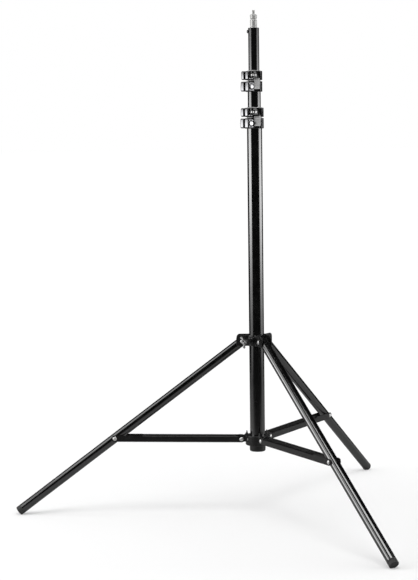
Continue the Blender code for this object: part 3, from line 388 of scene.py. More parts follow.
def mesh_points(mesh, what="co"):
    """The places, or the normals, of a mesh's points as an array."""
    points = np.empty(len(mesh.vertices) * 3, np.float32)
    mesh.vertices.foreach_get(what, points)
    return points.reshape(-1, 3)


def convexity(mesh):
    """How sharply each point stands out from its neighbours, in turns of angle per millimetre."""
    count = len(mesh.vertices)
    points, normals = mesh_points(mesh), mesh_points(mesh, "normal")
    sides = np.empty(len(mesh.edges) * 2, np.int32)
    mesh.edges.foreach_get("vertices", sides)
    sides = sides.reshape(-1, 2)
    both = np.concatenate([sides, sides[:, ::-1]])
    offset = points[both[:, 0]] - points[both[:, 1]]
    bend = 2 * (offset * normals[both[:, 0]]).sum(axis=1) / np.maximum((offset ** 2).sum(axis=1), 1e-9)
    total = np.bincount(both[:, 0], weights=bend, minlength=count)
    return total / np.bincount(both[:, 0], minlength=count).clip(1) / 1000


def point_mask(mesh, name, values):
    """A mask with one value for each point of a mesh."""
    mesh.attributes.new(name, "FLOAT", "POINT").data.foreach_set("value", values.astype(np.float32))


def dress(name, mesh, finish, body, nodes, sharp=SHARP_ANGLE):
    """Gives a mesh its shading, edge mask and finish; it rides a body and stands for its nodes."""
    mesh.name = name
    mesh.shade_smooth()
    mesh.set_sharp_from_angle(angle=sharp)
    point_mask(mesh, "edge", convexity(mesh))
    mesh.materials.append(finish)
    piece = new_object(name, mesh)
    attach(piece, body)
    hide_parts(*nodes)
    return piece


def joined_mesh(shells):
    """One mesh of several shells, its seams and poles merged and its faces turned outwards."""
    counts = np.cumsum([0] + [len(shell[0]) for shell in shells])
    points = np.concatenate([shell[0] for shell in shells])
    quads = np.concatenate([shell[1] + start for shell, start in zip(shells, counts)])
    uv = np.concatenate([shell[2] for shell in shells])
    mesh = bpy.data.meshes.new("piece")
    mesh.from_pydata(points.tolist(), [], quads.tolist())
    layer = mesh.uv_layers.new(name="surface")
    layer.data.foreach_set("uv", uv[quads.ravel()].astype(np.float32).ravel())
    work = bmesh.new()
    work.from_mesh(mesh)
    bmesh.ops.remove_doubles(work, verts=work.verts, dist=MERGE)
    bmesh.ops.recalc_face_normals(work, faces=work.faces)
    work.to_mesh(mesh)
    work.free()
    return mesh


def make_piece(name, shells, finish, body, nodes, sharp=SHARP_ANGLE):
    """A finished piece from its shells."""
    return dress(name, joined_mesh(shells), finish, body, nodes, sharp)


# Frames that pieces are made in

def radial(azimuth):
    """Turns a piece made along Z to point straight out from the mast at an azimuth."""
    return Matrix.Rotation(azimuth, 4, "Z") @ Matrix.Rotation(math.pi / 2, 4, "Y")


def lying(x, y, z, side=1):
    """Puts a piece made along Z at a point, lying along Y, or along -Y where side is -1."""
    return Matrix.Translation((x, y, z)) @ Matrix.Rotation(-side * math.pi / 2, 4, "X")


def side_frame(leg):
    """The upright plane of one leg, with X straight out from the mast."""
    return Matrix.Rotation(LEG_AZIMUTHS[leg], 4, "Z")


def brace_frame(leg):
    """A brace's own frame: its collar pivot at the origin and its length along X."""
    return (side_frame(leg) @ Matrix.Translation((BRACE_PIVOT_RADIUS, 0, BRACE_PIVOT_HEIGHT))
            @ Matrix.Rotation(-BRACE_SLOPE, 4, "Y"))


def leg_frame(leg):
    """A leg's own frame: its brace joint at the origin and its length along Z."""
    return (side_frame(leg) @ Matrix.Translation((LEG_JOINT_RADIUS, 0, LEG_JOINT_HEIGHT))
            @ Matrix.Rotation(-LEG_ANGLE, 4, "Y"))


# Finishes

DRAWN_SQUEEZE = (1.0, 0.006, 1.0)
BARE_METAL_SHADE = (0.16, 0.16, 0.165)
# The grey of the painted highlight strip on the black lever paint
PAINTED_HIGHLIGHT_SHADE = 0.80
BLASTED_SHADE = 0.50
BLASTED_METALLIC = 0.10
BLASTED_ROUGHNESS = 0.60


def put(tree, value, entry):
    """Links a socket to a node's input, or sets the input to a plain value."""
    if isinstance(value, bpy.types.NodeSocket):
        tree.links.new(value, entry)
    else:
        entry.default_value = value


def node(tree, kind, entries=(), **settings):
    """A new node with its settings and its inputs, each a socket or a value."""
    made = tree.nodes.new(kind)
    for key, value in settings.items():
        setattr(made, key, value)
    for key, value in dict(entries).items():
        put(tree, value, made.inputs[key])
    return made


def ranged(tree, value, low, high, to_low=0.0, to_high=1.0):
    """value mapped smoothly from low..high to to_low..to_high."""
    entries = {"Value": value, "From Min": low, "From Max": high, "To Min": to_low, "To Max": to_high}
    return node(tree, "ShaderNodeMapRange", entries, interpolation_type="SMOOTHSTEP").outputs["Result"]


def mixed(tree, share, one, other):
    """A number between one and other, which may be sockets or numbers."""
    return node(tree, "ShaderNodeMix", {0: share, 2: one, 3: other}, data_type="FLOAT").outputs[0]


def coloured(tree, share, one, other):
    """A colour between one and other, each a grey, a colour or a socket."""
    entries = {0: share}
    for key, value in ((6, one), (7, other)):
        if isinstance(value, (int, float)):
            value = (value, value, value)
        entries[key] = (*value, 1.0) if isinstance(value, tuple) else value
    return node(tree, "ShaderNodeMix", entries, data_type="RGBA").outputs[2]


def maths(tree, operation, one, other, kind="Math"):
    """Two numbers or sockets put through a Math node, or two vectors through a VectorMath node."""
    return node(tree, "ShaderNode" + kind, {0: one, 1: other}, operation=operation).outputs[0]


def noise(tree, place, scale, detail=3.0, rough=0.5, distortion=0.0):
    """The grey of a noise texture."""
    entries = {"Vector": place, "Scale": scale, "Detail": detail, "Roughness": rough,
               "Distortion": distortion}
    return node(tree, "ShaderNodeTexNoise", entries).outputs["Fac"]


def own_place(tree):
    """Each point's place in its own piece."""
    return node(tree, "ShaderNodeTexCoord").outputs["Object"]


def mask_of(tree, name):
    """The value of one of a mesh's point masks."""
    return node(tree, "ShaderNodeAttribute", attribute_name=name).outputs["Fac"]


def group_of(name, entry, value, *results):
    """An effect group with one number in and numbers out: (group, the number's socket, its results)."""
    group = bpy.data.node_groups.new(name, "ShaderNodeTree")
    kind = "NodeSocketFloat"
    group.interface.new_socket(entry, in_out="INPUT", socket_type=kind).default_value = value
    for result in results:
        group.interface.new_socket(result, in_out="OUTPUT", socket_type=kind)
    return group, node(group, "NodeGroupInput").outputs[entry], node(group, "NodeGroupOutput").inputs


def handling_marks():
    """Handled metal or lacquer: cloudy smudges and a few fine scratches, as numbers from 0 to 1."""
    group, size, out = group_of("handling marks", "Size", 60.0, "Smudges", "Scratches")
    place = own_place(group)
    put(group, ranged(group, noise(group, place, size, 4.0, 0.5, 0.6), 0.42, 0.68), out["Smudges"])
    entries = {"Vector": place, "Scale": 170.0, "Distortion": 26.0, "Detail": 2.0, "Detail Scale": 0.35}
    lines = node(group, "ShaderNodeTexWave", entries,
                 wave_type="BANDS", bands_direction="DIAGONAL").outputs["Fac"]
    few = ranged(group, noise(group, place, 130.0, 1.0), 0.58, 0.72)
    put(group, maths(group, "MULTIPLY", ranged(group, lines, 0.975, 1.0), few), out["Scratches"])
    return group


def worn_edges():
    """Where a coating rubs thin: the edge mask above a limit, broken up by a fine noise."""
    group, limit, out = group_of("worn edges", "Limit", 0.5, "Wear")
    past = maths(group, "SUBTRACT", mask_of(group, "edge"), limit)
    grain = noise(group, own_place(group), 900.0, 3.0, 0.6)
    rubbed = maths(group, "MULTIPLY", ranged(group, past, 0.0, 0.6), ranged(group, grain, 0.42, 0.6))
    put(group, rubbed, out["Wear"])
    return group


def cast_grain():
    """The skin of a casting or moulding under paint: a fine pebble with a slow swell, as a height."""
    group, scale, out = group_of("cast grain", "Scale", 1500.0, "Height")
    place = own_place(group)
    pebble, swell = noise(group, place, scale, 2.0), noise(group, place, 140.0, 1.0)
    put(group, mixed(group, 0.25, pebble, swell), out["Height"])
    return group


def drawn_lines():
    """Long fine lines that a drawn tube keeps: noise squeezed along the tube, in its own uv."""
    group, fineness, out = group_of("drawn lines", "Fineness", 1400.0, "Lines")
    strip = node(group, "ShaderNodeUVMap", uv_map="surface").outputs["UV"]
    place = maths(group, "MULTIPLY", strip, DRAWN_SQUEEZE, "VectorMath")
    put(group, noise(group, place, fineness, 2.0), out["Lines"])
    return group


EFFECTS = {"marks": handling_marks(), "wear": worn_edges(), "grain": cast_grain(),
           "lines": drawn_lines()}


def effect(tree, key, **values):
    """An effect group placed in a material with its own values."""
    made = node(tree, "ShaderNodeGroup", node_tree=EFFECTS[key])
    for label, value in values.items():
        made.inputs[label].default_value = value
    return made.outputs


def blank_finish(name, **settings):
    """A material with a Principled shader; settings go on the shader's own sockets."""
    material = bpy.data.materials.new(name)
    material.use_nodes = True
    tree = material.node_tree
    shader = tree.nodes["Principled BSDF"]
    for label, value in settings.items():
        shader.inputs[label.replace("_", " ")].default_value = value
    return material, tree, shader


def bumped(tree, shader, height, strength, distance):
    """Gives a shader a bump from a height."""
    bump = node(tree, "ShaderNodeBump", {"Strength": strength, "Distance": distance, "Height": height})
    put(tree, bump.outputs["Normal"], shader.inputs["Normal"])


def lacquer_finish(name, shade, roughness, gloss=1.5, lines=False, grain_scale=900.0, grain=0.00001,
                   limit=1.1):
    """Black paint over metal, with smudges and a little wear on its edges.

    Where its highlight mask is 1, a pale matt strip is painted into the paint as a painted highlight.
    """
    material, tree, shader = blank_finish(name, IOR=gloss)
    marks = effect(tree, "marks", Size=45.0)
    wear = effect(tree, "wear", Limit=limit)["Wear"]
    paint = coloured(tree, marks["Smudges"], shade, shade * 1.35 + 0.002)
    paint = coloured(tree, wear, paint, BARE_METAL_SHADE)
    # A point mask paints a pale strip into the paint colour: a painted highlight
    put(tree, coloured(tree, mask_of(tree, "painted_highlight"), paint, PAINTED_HIGHLIGHT_SHADE), shader.inputs["Base Color"])
    dull = mixed(tree, marks["Smudges"], roughness, roughness + 0.04)
    if lines:
        height = effect(tree, "lines")["Lines"]
        dull = mixed(tree, ranged(tree, height, 0.35, 0.7), dull, roughness + 0.04)
    else:
        height = effect(tree, "grain", Scale=grain_scale)["Height"]
    dull = mixed(tree, marks["Scratches"], dull, roughness + 0.2)
    put(tree, dull, shader.inputs["Roughness"])
    bumped(tree, shader, height, 0.35, grain)
    return material


def plated_finish(name, shade, roughness, spread, grain_scale=700.0, grain=0.000004, metallic=1.0):
    """Plated or bare metal, duller where it is smudged, with fine scratches and a faint waviness.

    Where the blasted mask is 1 the metal is matt and hazy, as a bead-blasted panel is.
    """
    material, tree, shader = blank_finish(name)
    marks = effect(tree, "marks", Size=70.0)
    blasted = mask_of(tree, "blasted")
    put(tree, coloured(tree, blasted, shade, BLASTED_SHADE), shader.inputs["Base Color"])
    put(tree, mixed(tree, blasted, metallic, BLASTED_METALLIC), shader.inputs["Metallic"])
    dull = mixed(tree, marks["Smudges"], roughness, roughness + spread)
    dull = mixed(tree, marks["Scratches"], dull, roughness + spread + 0.1)
    put(tree, mixed(tree, blasted, dull, BLASTED_ROUGHNESS), shader.inputs["Roughness"])
    bumped(tree, shader, effect(tree, "grain", Scale=grain_scale)["Height"], 0.3, grain)
    return material


def soft_finish(name, shade, worn_shade, roughness, grain_scale, grain):
    """Rubber or moulded plastic: a pebbled skin, paler where it is rubbed."""
    material, tree, shader = blank_finish(name)
    marks = effect(tree, "marks", Size=110.0)
    wear = effect(tree, "wear", Limit=0.35)["Wear"]
    cloudy = coloured(tree, marks["Smudges"], shade, shade * 1.4)
    put(tree, coloured(tree, wear, cloudy, worn_shade), shader.inputs["Base Color"])
    fine = noise(tree, own_place(tree), grain_scale * 0.5, 4.0)
    dull = ranged(tree, fine, 0.3, 0.7, roughness - 0.05, roughness + 0.08)
    put(tree, dull, shader.inputs["Roughness"])
    bumped(tree, shader, effect(tree, "grain", Scale=grain_scale)["Height"], 0.5, grain)
    return material


TUBE_LACQUER = lacquer_finish("black tube lacquer", 0.0012, 0.10, gloss=2.0, lines=True, grain=0.000001)
CAST_PAINT = lacquer_finish("satin black casting paint", 0.006, 0.27, grain_scale=1500.0,
                            grain=0.00002, limit=0.9)
BRACE_PAINT = lacquer_finish("satin black sheet paint", 0.004, 0.20, grain_scale=1100.0,
                             grain=0.000006, limit=1.6)
LEVER_PAINT = lacquer_finish("black lever paint", 0.004, 0.20, grain_scale=1300.0,
                             grain=0.000008, limit=1.2)
SCREW_BLACK = lacquer_finish("blackened steel", 0.016, 0.36, grain_scale=1600.0, limit=1.5)
CHROME = plated_finish("chrome plate", (0.50, 0.50, 0.51), 0.14, 0.04)
DARK_CHROME = plated_finish("black chrome plate", (0.17, 0.17, 0.175), 0.12, 0.04)
SPIGOT_METAL = plated_finish("satin nickel plate", (0.52, 0.52, 0.51), 0.36, 0.06,
                             grain_scale=1300.0, metallic=0.5)
ZINC = plated_finish("zinc-plated steel", (0.70, 0.70, 0.69), 0.34, 0.08,
                     grain_scale=1500.0, metallic=0.8)
WING_METAL = plated_finish("cast zinc", (0.32, 0.32, 0.32), 0.30, 0.08,
                           grain_scale=1500.0, metallic=0.9)
BRASS = plated_finish("brass", (0.62, 0.47, 0.20), 0.30, 0.10)
RUBBER = soft_finish("rubber", 0.022, 0.06, 0.62, 1200.0, 0.00006)
BLACK_PLASTIC = soft_finish("black plastic", 0.010, 0.03, 0.36, 1500.0, 0.00003)
NYLON = soft_finish("grey nylon", 0.36, 0.45, 0.42, 900.0, 0.00002)


# Mast

CAP_FLOOR = 0.004
CAP_EDGE = 0.003
SEAT_GAP = 0.0003
TUBE_LIP = 0.00045
SPIGOT_RADIUS = 0.008
SPIGOT_BODY = 0.0170
SPIGOT_WAIST = 0.0050
SPIGOT_WAIST_RADIUS = 0.0065
SPIGOT_RAMP = 0.0015
SPIGOT_HEAD = 0.0085
SPIGOT_ROUND = 0.0028
STUD_RADIUS = 0.003175
STUD_LENGTH = 0.0098
STUD_PITCH = 0.00127
THREAD_DEPTH = 0.0006
SPIGOT_PLUG = 0.034
SPIGOT_SCREW_DROP = 0.0082


def tube_piece(name, radius, wall, body):
    """A mast tube between its node's two ends."""
    low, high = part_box(name)
    shell = pipe(radius, radius - wall, low.z, high.z, TUBE_LIP)
    make_piece(name + "_skin", [shell], TUBE_LACQUER, body, [name])


def mast_cap():
    """The plastic cup round the mast's foot, with a rounded lower edge and a rolled mouth."""
    low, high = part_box("mast_end_cap")
    radius = high.x
    groove = OUTER_TUBE_RADIUS + SEAT_GAP
    line = rounded([(0, 0), (radius - 0.0002, 0), (radius, 0.0075), (radius, high.z), (groove, high.z),
                    (groove, CAP_FLOOR), (0, CAP_FLOOR)],
                   [CAP_EDGE, 0, 0.0003, 0.0003, 0])
    make_piece("mast_foot_cap", [turned(line, TUBE_COLUMNS)], BLACK_PLASTIC, "mast_base",
               ["mast_end_cap"])


def spigot_pieces():
    """The spigot is turned from one bar; its stud has a real thread."""
    waist_base = TOP_TUBE_TOP + SPIGOT_BODY
    waist_top = waist_base + SPIGOT_WAIST
    head_top = waist_top + SPIGOT_HEAD
    plug = TOP_TUBE_RADIUS - 0.0012 - SEAT_GAP
    plug_end, cone_top = TOP_TUBE_TOP - SPIGOT_PLUG, head_top + 0.0008
    line = rounded([(0, plug_end), (plug, plug_end), (plug, TOP_TUBE_TOP),
                    (SPIGOT_RADIUS, TOP_TUBE_TOP), (SPIGOT_RADIUS, waist_base),
                    (SPIGOT_WAIST_RADIUS, waist_base + SPIGOT_RAMP),
                    (SPIGOT_WAIST_RADIUS, waist_top - SPIGOT_RAMP), (SPIGOT_RADIUS, waist_top),
                    (SPIGOT_RADIUS, head_top), (STUD_RADIUS + 0.0004, head_top),
                    (STUD_RADIUS - THREAD_DEPTH, cone_top), (0, cone_top)],
                   [0.0005, 0.0004, 0, 0.0004, 0.0008, 0.0008, 0.0004, SPIGOT_ROUND, 0, 0])
    stud = thread(STUD_RADIUS, head_top + 0.0003, head_top + STUD_LENGTH, STUD_PITCH, THREAD_DEPTH)
    make_piece("spigot_bar", [turned(line, TUBE_COLUMNS), stud], SPIGOT_METAL, "top_section",
               ["spigot"])
    seat = (Matrix.Translation((0, 0, TOP_TUBE_TOP - SPIGOT_SCREW_DROP)) @ radial(math.pi)
            @ Matrix.Translation((0, 0, TOP_TUBE_RADIUS + SEAT_GAP)))
    head = socket_head(0.0044, 0.0032, 0.0036, 0.0018, seat)
    make_piece("spigot_grub_screw", [head, rod(0.0025, -0.006, 0.0002, 0.0003, seat)],
               SCREW_BLACK, "top_section", ["spigot_screw"])


tube_piece("outer_tube", OUTER_TUBE_RADIUS, 0.0015, "mast_base")
tube_piece("middle_tube", MIDDLE_TUBE_RADIUS, 0.0012, "middle_section")
tube_piece("top_tube", TOP_TUBE_RADIUS, 0.0012, "top_section")
mast_cap()
spigot_pieces()


# Clamps: local X points out along the ears, local Y across them

EAR_AZIMUTH = math.radians(-135)
EAR_HALF = 0.0125
LOWER_EAR_HALF = 0.0140
EAR_SPLIT = 0.00225
SPLIT_EDGE = 0.0020
EAR_EDGE = 0.0030
EAR_CROWN = 0.0004
LOWER_REACH = 0.0124
UPPER_REACH = 0.0120
RING_EDGE = 0.0009
LOWER_RING = 0.0233
SLIT = 0.0032
CLAMP_HEIGHT = 0.047
CLAMP_WALL = 0.004
SPINE_TURN = math.radians(65)
SPINE_SPREAD = math.radians(21)
SPINE_CORNER = 0.0010
SPINE_PROUD = 0.0014
SPINE_BASE = 0.0055
SPINE_TOP = 0.0306
SINK_RADIUS = 0.0078
SINK_DEPTH = 0.0012
SIDE_TURN = math.radians(120)
PIN_TURN = math.radians(96)
BOLT_RADIUS = 0.0025
SCREW_HEAD = (0.0052, 0.0032)
LOWER_BOLT = (0.0034, 0.0118)
UPPER_BOLT = (0.0027, 0.0376)
LEVER_AXIS = 0.018
LEVER_BASE = 0.0312
LEVER_HEIGHT = 0.0158
LEVER_GAP = 0.0010
LEVER_THICKNESS = 0.0046
LEVER_BOSS = 0.0052
LEVER_END = math.radians(79)
LEVER_END_TOP = math.radians(57.5)
MASK_FADE = 0.0008
# Where each lever's painted highlight strip lies: its half height, where it ends and how soft its edge
# is
PAINTED_HIGHLIGHT_HALF = 0.0023
PAINTED_HIGHLIGHT_END = math.radians(58)
PAINTED_HIGHLIGHT_FADE = 0.0006
LINER_GAP = 0.0004
LINER_WALL = 0.0018
LINER_LIP = 0.0016
CLAMP_STEP = 0.00046
LEVER_STEP = 0.00035


def clamp_casting(ring, outer_bore, upper_bore):
    """The distance of a clamp body: two rings and their ears, joined by a spine, less its cuts."""
    middle = LOWER_RING + SLIT / 2
    spine_middle, spine_half = span(SPINE_BASE, SPINE_TOP)

    def distance(x, y, z):
        """The clamp body's distance at points."""
        across = np.hypot(x, y)
        spine_x, spine_y = facing(x, y, SPINE_TURN)
        side_x, side_y = facing(x, y, SIDE_TURN)
        pin_x, pin_y = facing(x, y, PIN_TURN)
        solid = np.inf
        for low, high, reach, wide in ((0.0, LOWER_RING, LOWER_REACH, LOWER_EAR_HALF),
                                       (LOWER_RING + SLIT, CLAMP_HEIGHT, UPPER_REACH, EAR_HALF)):
            centre, half = span(low, high)
            level = z - centre
            bulge = EAR_CROWN * ((y / wide) ** 2 + (level / half) ** 2)
            ears_x = x - (ring + reach) / 2 - 0.005 + bulge
            plan = box_distance(ears_x, y, (ring + reach) / 2 - 0.005, wide, EAR_EDGE)
            ears = thick(plan, level, half - 0.0004, EAR_EDGE)
            one = united(thick(across - ring, level, half, RING_EDGE), ears, 0.0022)
            flank = box_distance(side_x - ring / 2, side_y + 0.0060, ring / 2, 0.0062, 0.0015)
            one = united(one, thick(flank, level, half, RING_EDGE), 0.0015)
            solid = np.minimum(solid, one)
        plate = box_distance(spine_x - ring / 2, spine_y, ring / 2 + SPINE_PROUD,
                             ring * math.sin(SPINE_SPREAD), SPINE_CORNER)
        spine = thick(np.maximum(plate, -spine_x), z - spine_middle, spine_half, SPINE_CORNER)
        solid = united(solid, spine, 0.0008)
        solid = cut(solid, across - np.where(z < middle, outer_bore, upper_bore), 0.0007)
        solid = cut(solid, np.maximum(np.abs(y) - EAR_SPLIT, -x), SPLIT_EDGE)
        for height in (LOWER_RING / 2, (LOWER_RING + SLIT + CLAMP_HEIGHT) / 2):
            hole = np.maximum(np.hypot(pin_y, z - height) - 0.0012, ring - 0.0014 - across)
            solid = cut(solid, np.maximum(hole, -pin_x), 0.0003)
        for (offset, height), wide in ((LOWER_BOLT, LOWER_EAR_HALF), (UPPER_BOLT, EAR_HALF)):
            depth = wide - np.abs(y)
            sink = (np.hypot(x - ring - offset, z - height) - SINK_RADIUS) * 0.5 + depth * 0.866
            solid = cut(solid, np.maximum(sink, depth - SINK_DEPTH), 0.0004)
        return solid
    return distance


def clamp_lever(ring, distance_out):
    """The distance of a lever: its outline in plan, a slanted end, a finger groove and an eye slot."""
    inner = ring + LEVER_GAP
    outer = inner + LEVER_THICKNESS
    start = math.asin((EAR_HALF + SEAT_GAP) / inner)
    outline = np.concatenate([
        arc(inner, LEVER_END, start, 20),
        arc(LEVER_BOSS, -math.pi / 2, math.radians(75), 14, distance_out, LEVER_AXIS),
        arc(outer, LEVER_END - math.radians(17), LEVER_END, 8)])
    middle = LEVER_BASE + LEVER_HEIGHT / 2

    def distance(x, y, z):
        """The lever's distance at points."""
        plan = outline_distance(x, y, outline)
        across, turn = np.hypot(x, y), np.arctan2(y, x)
        share = np.clip((z - LEVER_BASE) / LEVER_HEIGHT, 0, 1)
        end = LEVER_END + (LEVER_END_TOP - LEVER_END) * share
        plan = common(plan, (turn - end) * outer * 0.85, 0.003)
        solid = thick(plan, z - middle, LEVER_HEIGHT / 2, 0.0011)
        finger = np.hypot(plan - 0.0020, z - middle) - 0.0031
        finger = np.maximum(finger, (inner + outer) / 2 - 0.0004 - across)
        finger = np.maximum(finger, (math.radians(40) - turn) * outer)
        solid = cut(solid, finger, 0.0007)
        slot = np.hypot(x - distance_out, y - LEVER_AXIS) - 0.00607
        slot = np.maximum(slot, np.abs(z - UPPER_BOLT[1]) - 0.0029)
        return cut(solid, slot, 0.0005)
    return distance


def clamp_pieces(prefix, base, outer_radius, inner_radius, body, lever_body):
    """One clamp: body, liner, bolts, nuts, lever and the lever's pin."""
    ring = outer_radius + CLAMP_WALL
    liner_bore = inner_radius + LINER_GAP
    liner_radius = liner_bore + LINER_WALL
    place = Matrix.Translation((0, 0, base)) @ Matrix.Rotation(EAR_AZIMUTH, 4, "Z")
    casting = clamp_casting(ring, outer_radius + SEAT_GAP, liner_radius + SEAT_GAP)
    wide = ring + 0.003
    shell = level_shell(casting, (-wide, -wide, -0.002),
                        (ring + LOWER_REACH + 0.003, wide, CLAMP_HEIGHT + 0.002), CLAMP_STEP)
    piece = make_piece(prefix + "_casting", [moved(shell, place)], DARK_CHROME, body, [prefix + "_body"])
    points = mesh_points(piece.data)
    out, left = facing(points[:, 0], points[:, 1], EAR_AZIMUTH + SPINE_TURN)
    middle, half = span(SPINE_BASE, SPINE_TOP)
    panel = box_distance(left, points[:, 2] - base - middle, ring * math.sin(SPINE_SPREAD), half,
                         SPINE_CORNER)
    panel = np.clip(0.5 - panel / MASK_FADE, 0, 1) * np.clip((out - ring + 0.0015) / MASK_FADE, 0, 1)
    point_mask(piece.data, "blasted", panel)

    top = CLAMP_HEIGHT + LINER_LIP
    sleeve = pipe(liner_radius, liner_bore, LOWER_RING + 2 * SEAT_GAP, top, 0.0006, place)
    make_piece(prefix + "_sleeve", [sleeve], NYLON, body, [prefix + "_liner"])

    for label, (offset, height), wide in (("fixing", LOWER_BOLT, LOWER_EAR_HALF),
                                          ("tension", UPPER_BOLT, EAR_HALF)):
        x, face, name = ring + offset, wide + SEAT_GAP - SINK_DEPTH, f"{prefix}_{label}"
        nut = hex_nut(0.0090, 0.0043, BOLT_RADIUS + 0.0002, place @ lying(x, -face, height, -1))
        make_piece(name + "_hex_nut", [nut], ZINC, body, [name + "_nut"], 0.4)
        if label == "fixing":
            line = rounded([(0, 0), (SCREW_HEAD[0], 0), SCREW_HEAD, (0, SCREW_HEAD[1] + 0.0002)],
                           [0.0003, 0.0012])
            seat, end, ending, finish, slot = lying(x, face, height), face, "_screw", CHROME, "chrome"
        else:
            line = rounded([(0.0019, -0.0025), (0.0038, -0.0025), (0.0038, 0.0025), (0.0019, 0.0025),
                            (0.0019, -0.0025)], [0.0008, 0.0008, 0.0002])
            seat, end = Matrix.Translation((x, LEVER_AXIS, height)), LEVER_AXIS - 0.0030
            ending, finish, slot = "_eye_bolt", ZINC, "steel"
        head = turned(line, SMALL_COLUMNS, place @ seat)
        shank = rod(BOLT_RADIUS, -(wide + 0.0003 + 0.0052), end, 0.0004, place @ lying(x, 0, height))
        make_piece(name + ending, [head, shank], finish, body, [name + "_bolt"])
    x = ring + UPPER_BOLT[0]
    lever = level_shell(clamp_lever(ring, x), (0.001, 0.010, LEVER_BASE - 0.001),
                        (x + 0.008, ring + 0.009, LEVER_BASE + LEVER_HEIGHT + 0.001), LEVER_STEP)
    piece = make_piece(prefix + "_flip_lever", [moved(lever, place)], LEVER_PAINT, lever_body,
                       [prefix + "_lever"])
    # Painted highlight: a pale strip on the lever's outer face at the eye bolt's height, from the ears'
    # side round towards its end
    points = mesh_points(piece.data)
    turn = np.mod(np.arctan2(points[:, 1], points[:, 0]) - EAR_AZIMUTH, FULL_TURN)
    behind = ring + LEVER_GAP + 0.6 * LEVER_THICKNESS - np.hypot(points[:, 0], points[:, 1])
    strip = np.maximum(np.abs(points[:, 2] - base - UPPER_BOLT[1]) - PAINTED_HIGHLIGHT_HALF,
                       (turn - PAINTED_HIGHLIGHT_END) * ring)
    point_mask(piece.data, "painted_highlight", np.clip(0.5 - np.maximum(strip, behind) / PAINTED_HIGHLIGHT_FADE, 0, 1))
    low, high = LEVER_BASE - 0.0004, LEVER_BASE + LEVER_HEIGHT
    line = rounded([(0, low), (0.0015, low), (0.0015, high - 0.0002), (0.0022, high - 0.0002),
                    (0.0022, high + 0.0005), (0, high + 0.0005)], [0.0003, 0, 0.0002, 0.0003])
    pin = turned(line, SMALL_COLUMNS, place @ Matrix.Translation((x, LEVER_AXIS, 0)))
    make_piece(prefix + "_hinge_pin", [pin], ZINC, body, [prefix + "_lever_pin"])


clamp_pieces("lower_clamp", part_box("lower_clamp_body")[0].z, OUTER_TUBE_RADIUS, MIDDLE_TUBE_RADIUS,
             "mast_base", "lower_lever")
clamp_pieces("upper_clamp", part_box("upper_clamp_body")[0].z, MIDDLE_TUBE_RADIUS, TOP_TUBE_RADIUS,
             "middle_section", "upper_lever")


# Leg collar and lower collar

LEG_PIVOT_RADIUS = 0.033
LEG_PIVOT_HEIGHT = 0.2613
LEG_COLLAR_RADIUS = 0.023
LEG_COLLAR_BORE = 0.018
POCKET_RADIUS = 0.0205
CHEEK_INSIDE = 0.0113
CHEEK_THICKNESS = 0.003
CHEEK_REACH = 0.0475
CHEEK_LOW_CORNER = 0.004
CHEEK_TOP_CORNER = 0.0085
LOCK_AZIMUTH = math.radians(-122)
LOCK_BOSS_RADIUS = 0.0088
LOCK_WING_TURN = math.radians(20)
LOCK_BOSS_ROOT = 0.0185
LOCK_BOSS_REACH = 0.030
LOCK_BOSS_EDGE = 0.0036
LOWER_COLLAR_RADIUS = 0.0282
SET_SCREW_AZIMUTH = math.radians(-147)
LOWER_COLLAR_BORE = 0.0178
LUG_HALF = 0.0117
LUG_WALL = 0.0034
LUG_END = 0.0062
RIVET_RADIUS = 0.003
RIVET_HEAD_RADIUS = 0.0047
RIVET_HEAD = 0.0024
BRACE_HALF = 0.0135
CASTING_STEP = 0.0005
WING_STEP = 0.0004


def leg_collar_distance(x, y, z):
    """The sliding casting: a ring, a fork of two cheeks for each leg, and the lock screw's boss."""
    middle, half = span(LEG_COLLAR_BASE, LEG_COLLAR_TOP)
    across = np.hypot(x, y)
    solid = thick(across - LEG_COLLAR_RADIUS, z - middle, half, 0.0012)
    inner = 0.012
    for leg in LEG_AZIMUTHS:
        out, left = facing(x, y, LEG_AZIMUTHS[leg])
        corner = np.where(z > middle, CHEEK_TOP_CORNER, CHEEK_LOW_CORNER)
        plan = box_distance(out - (CHEEK_REACH + inner) / 2, z - middle, (CHEEK_REACH - inner) / 2,
                            half, corner)
        slab = thick(plan, np.abs(left) - CHEEK_INSIDE - CHEEK_THICKNESS / 2, CHEEK_THICKNESS / 2,
                     0.0008)
        solid = united(solid, slab, 0.0018)
        solid = cut(solid, np.maximum(np.abs(left) - CHEEK_INSIDE, POCKET_RADIUS - out), 0.0006)
        eye = np.hypot(out - LEG_PIVOT_RADIUS, z - LEG_PIVOT_HEIGHT) - 0.0068
        pad = thick(eye, np.abs(left) - CHEEK_INSIDE - CHEEK_THICKNESS + 0.0004, 0.0006, 0.0004)
        solid = united(solid, pad, 0.0006)
    out, left = facing(x, y, LOCK_AZIMUTH)
    round_off = np.hypot(left, z - LOCK_HEIGHT)
    boss_middle, boss_half = span(LOCK_BOSS_ROOT, LOCK_BOSS_REACH)
    boss = thick(round_off - LOCK_BOSS_RADIUS, out - boss_middle, boss_half, LOCK_BOSS_EDGE)
    solid = united(solid, boss, 0.0022)
    solid = cut(solid, np.maximum(round_off - 0.0033, -out), 0.0003)
    return cut(solid, across - LEG_COLLAR_BORE, 0.0007)


LUG_OUTLINE = np.concatenate([
    [(0.0225, -LUG_END)],
    arc(LUG_END, -math.pi / 2, math.pi / 2, 14, BRACE_PIVOT_RADIUS),
    [(0.0330, 0.0064), (0.0296, 0.0086), (0.0268, 0.0132), (0.0262, 0.0170), (0.0246, 0.0170),
     (0.0225, 0.0090)]])


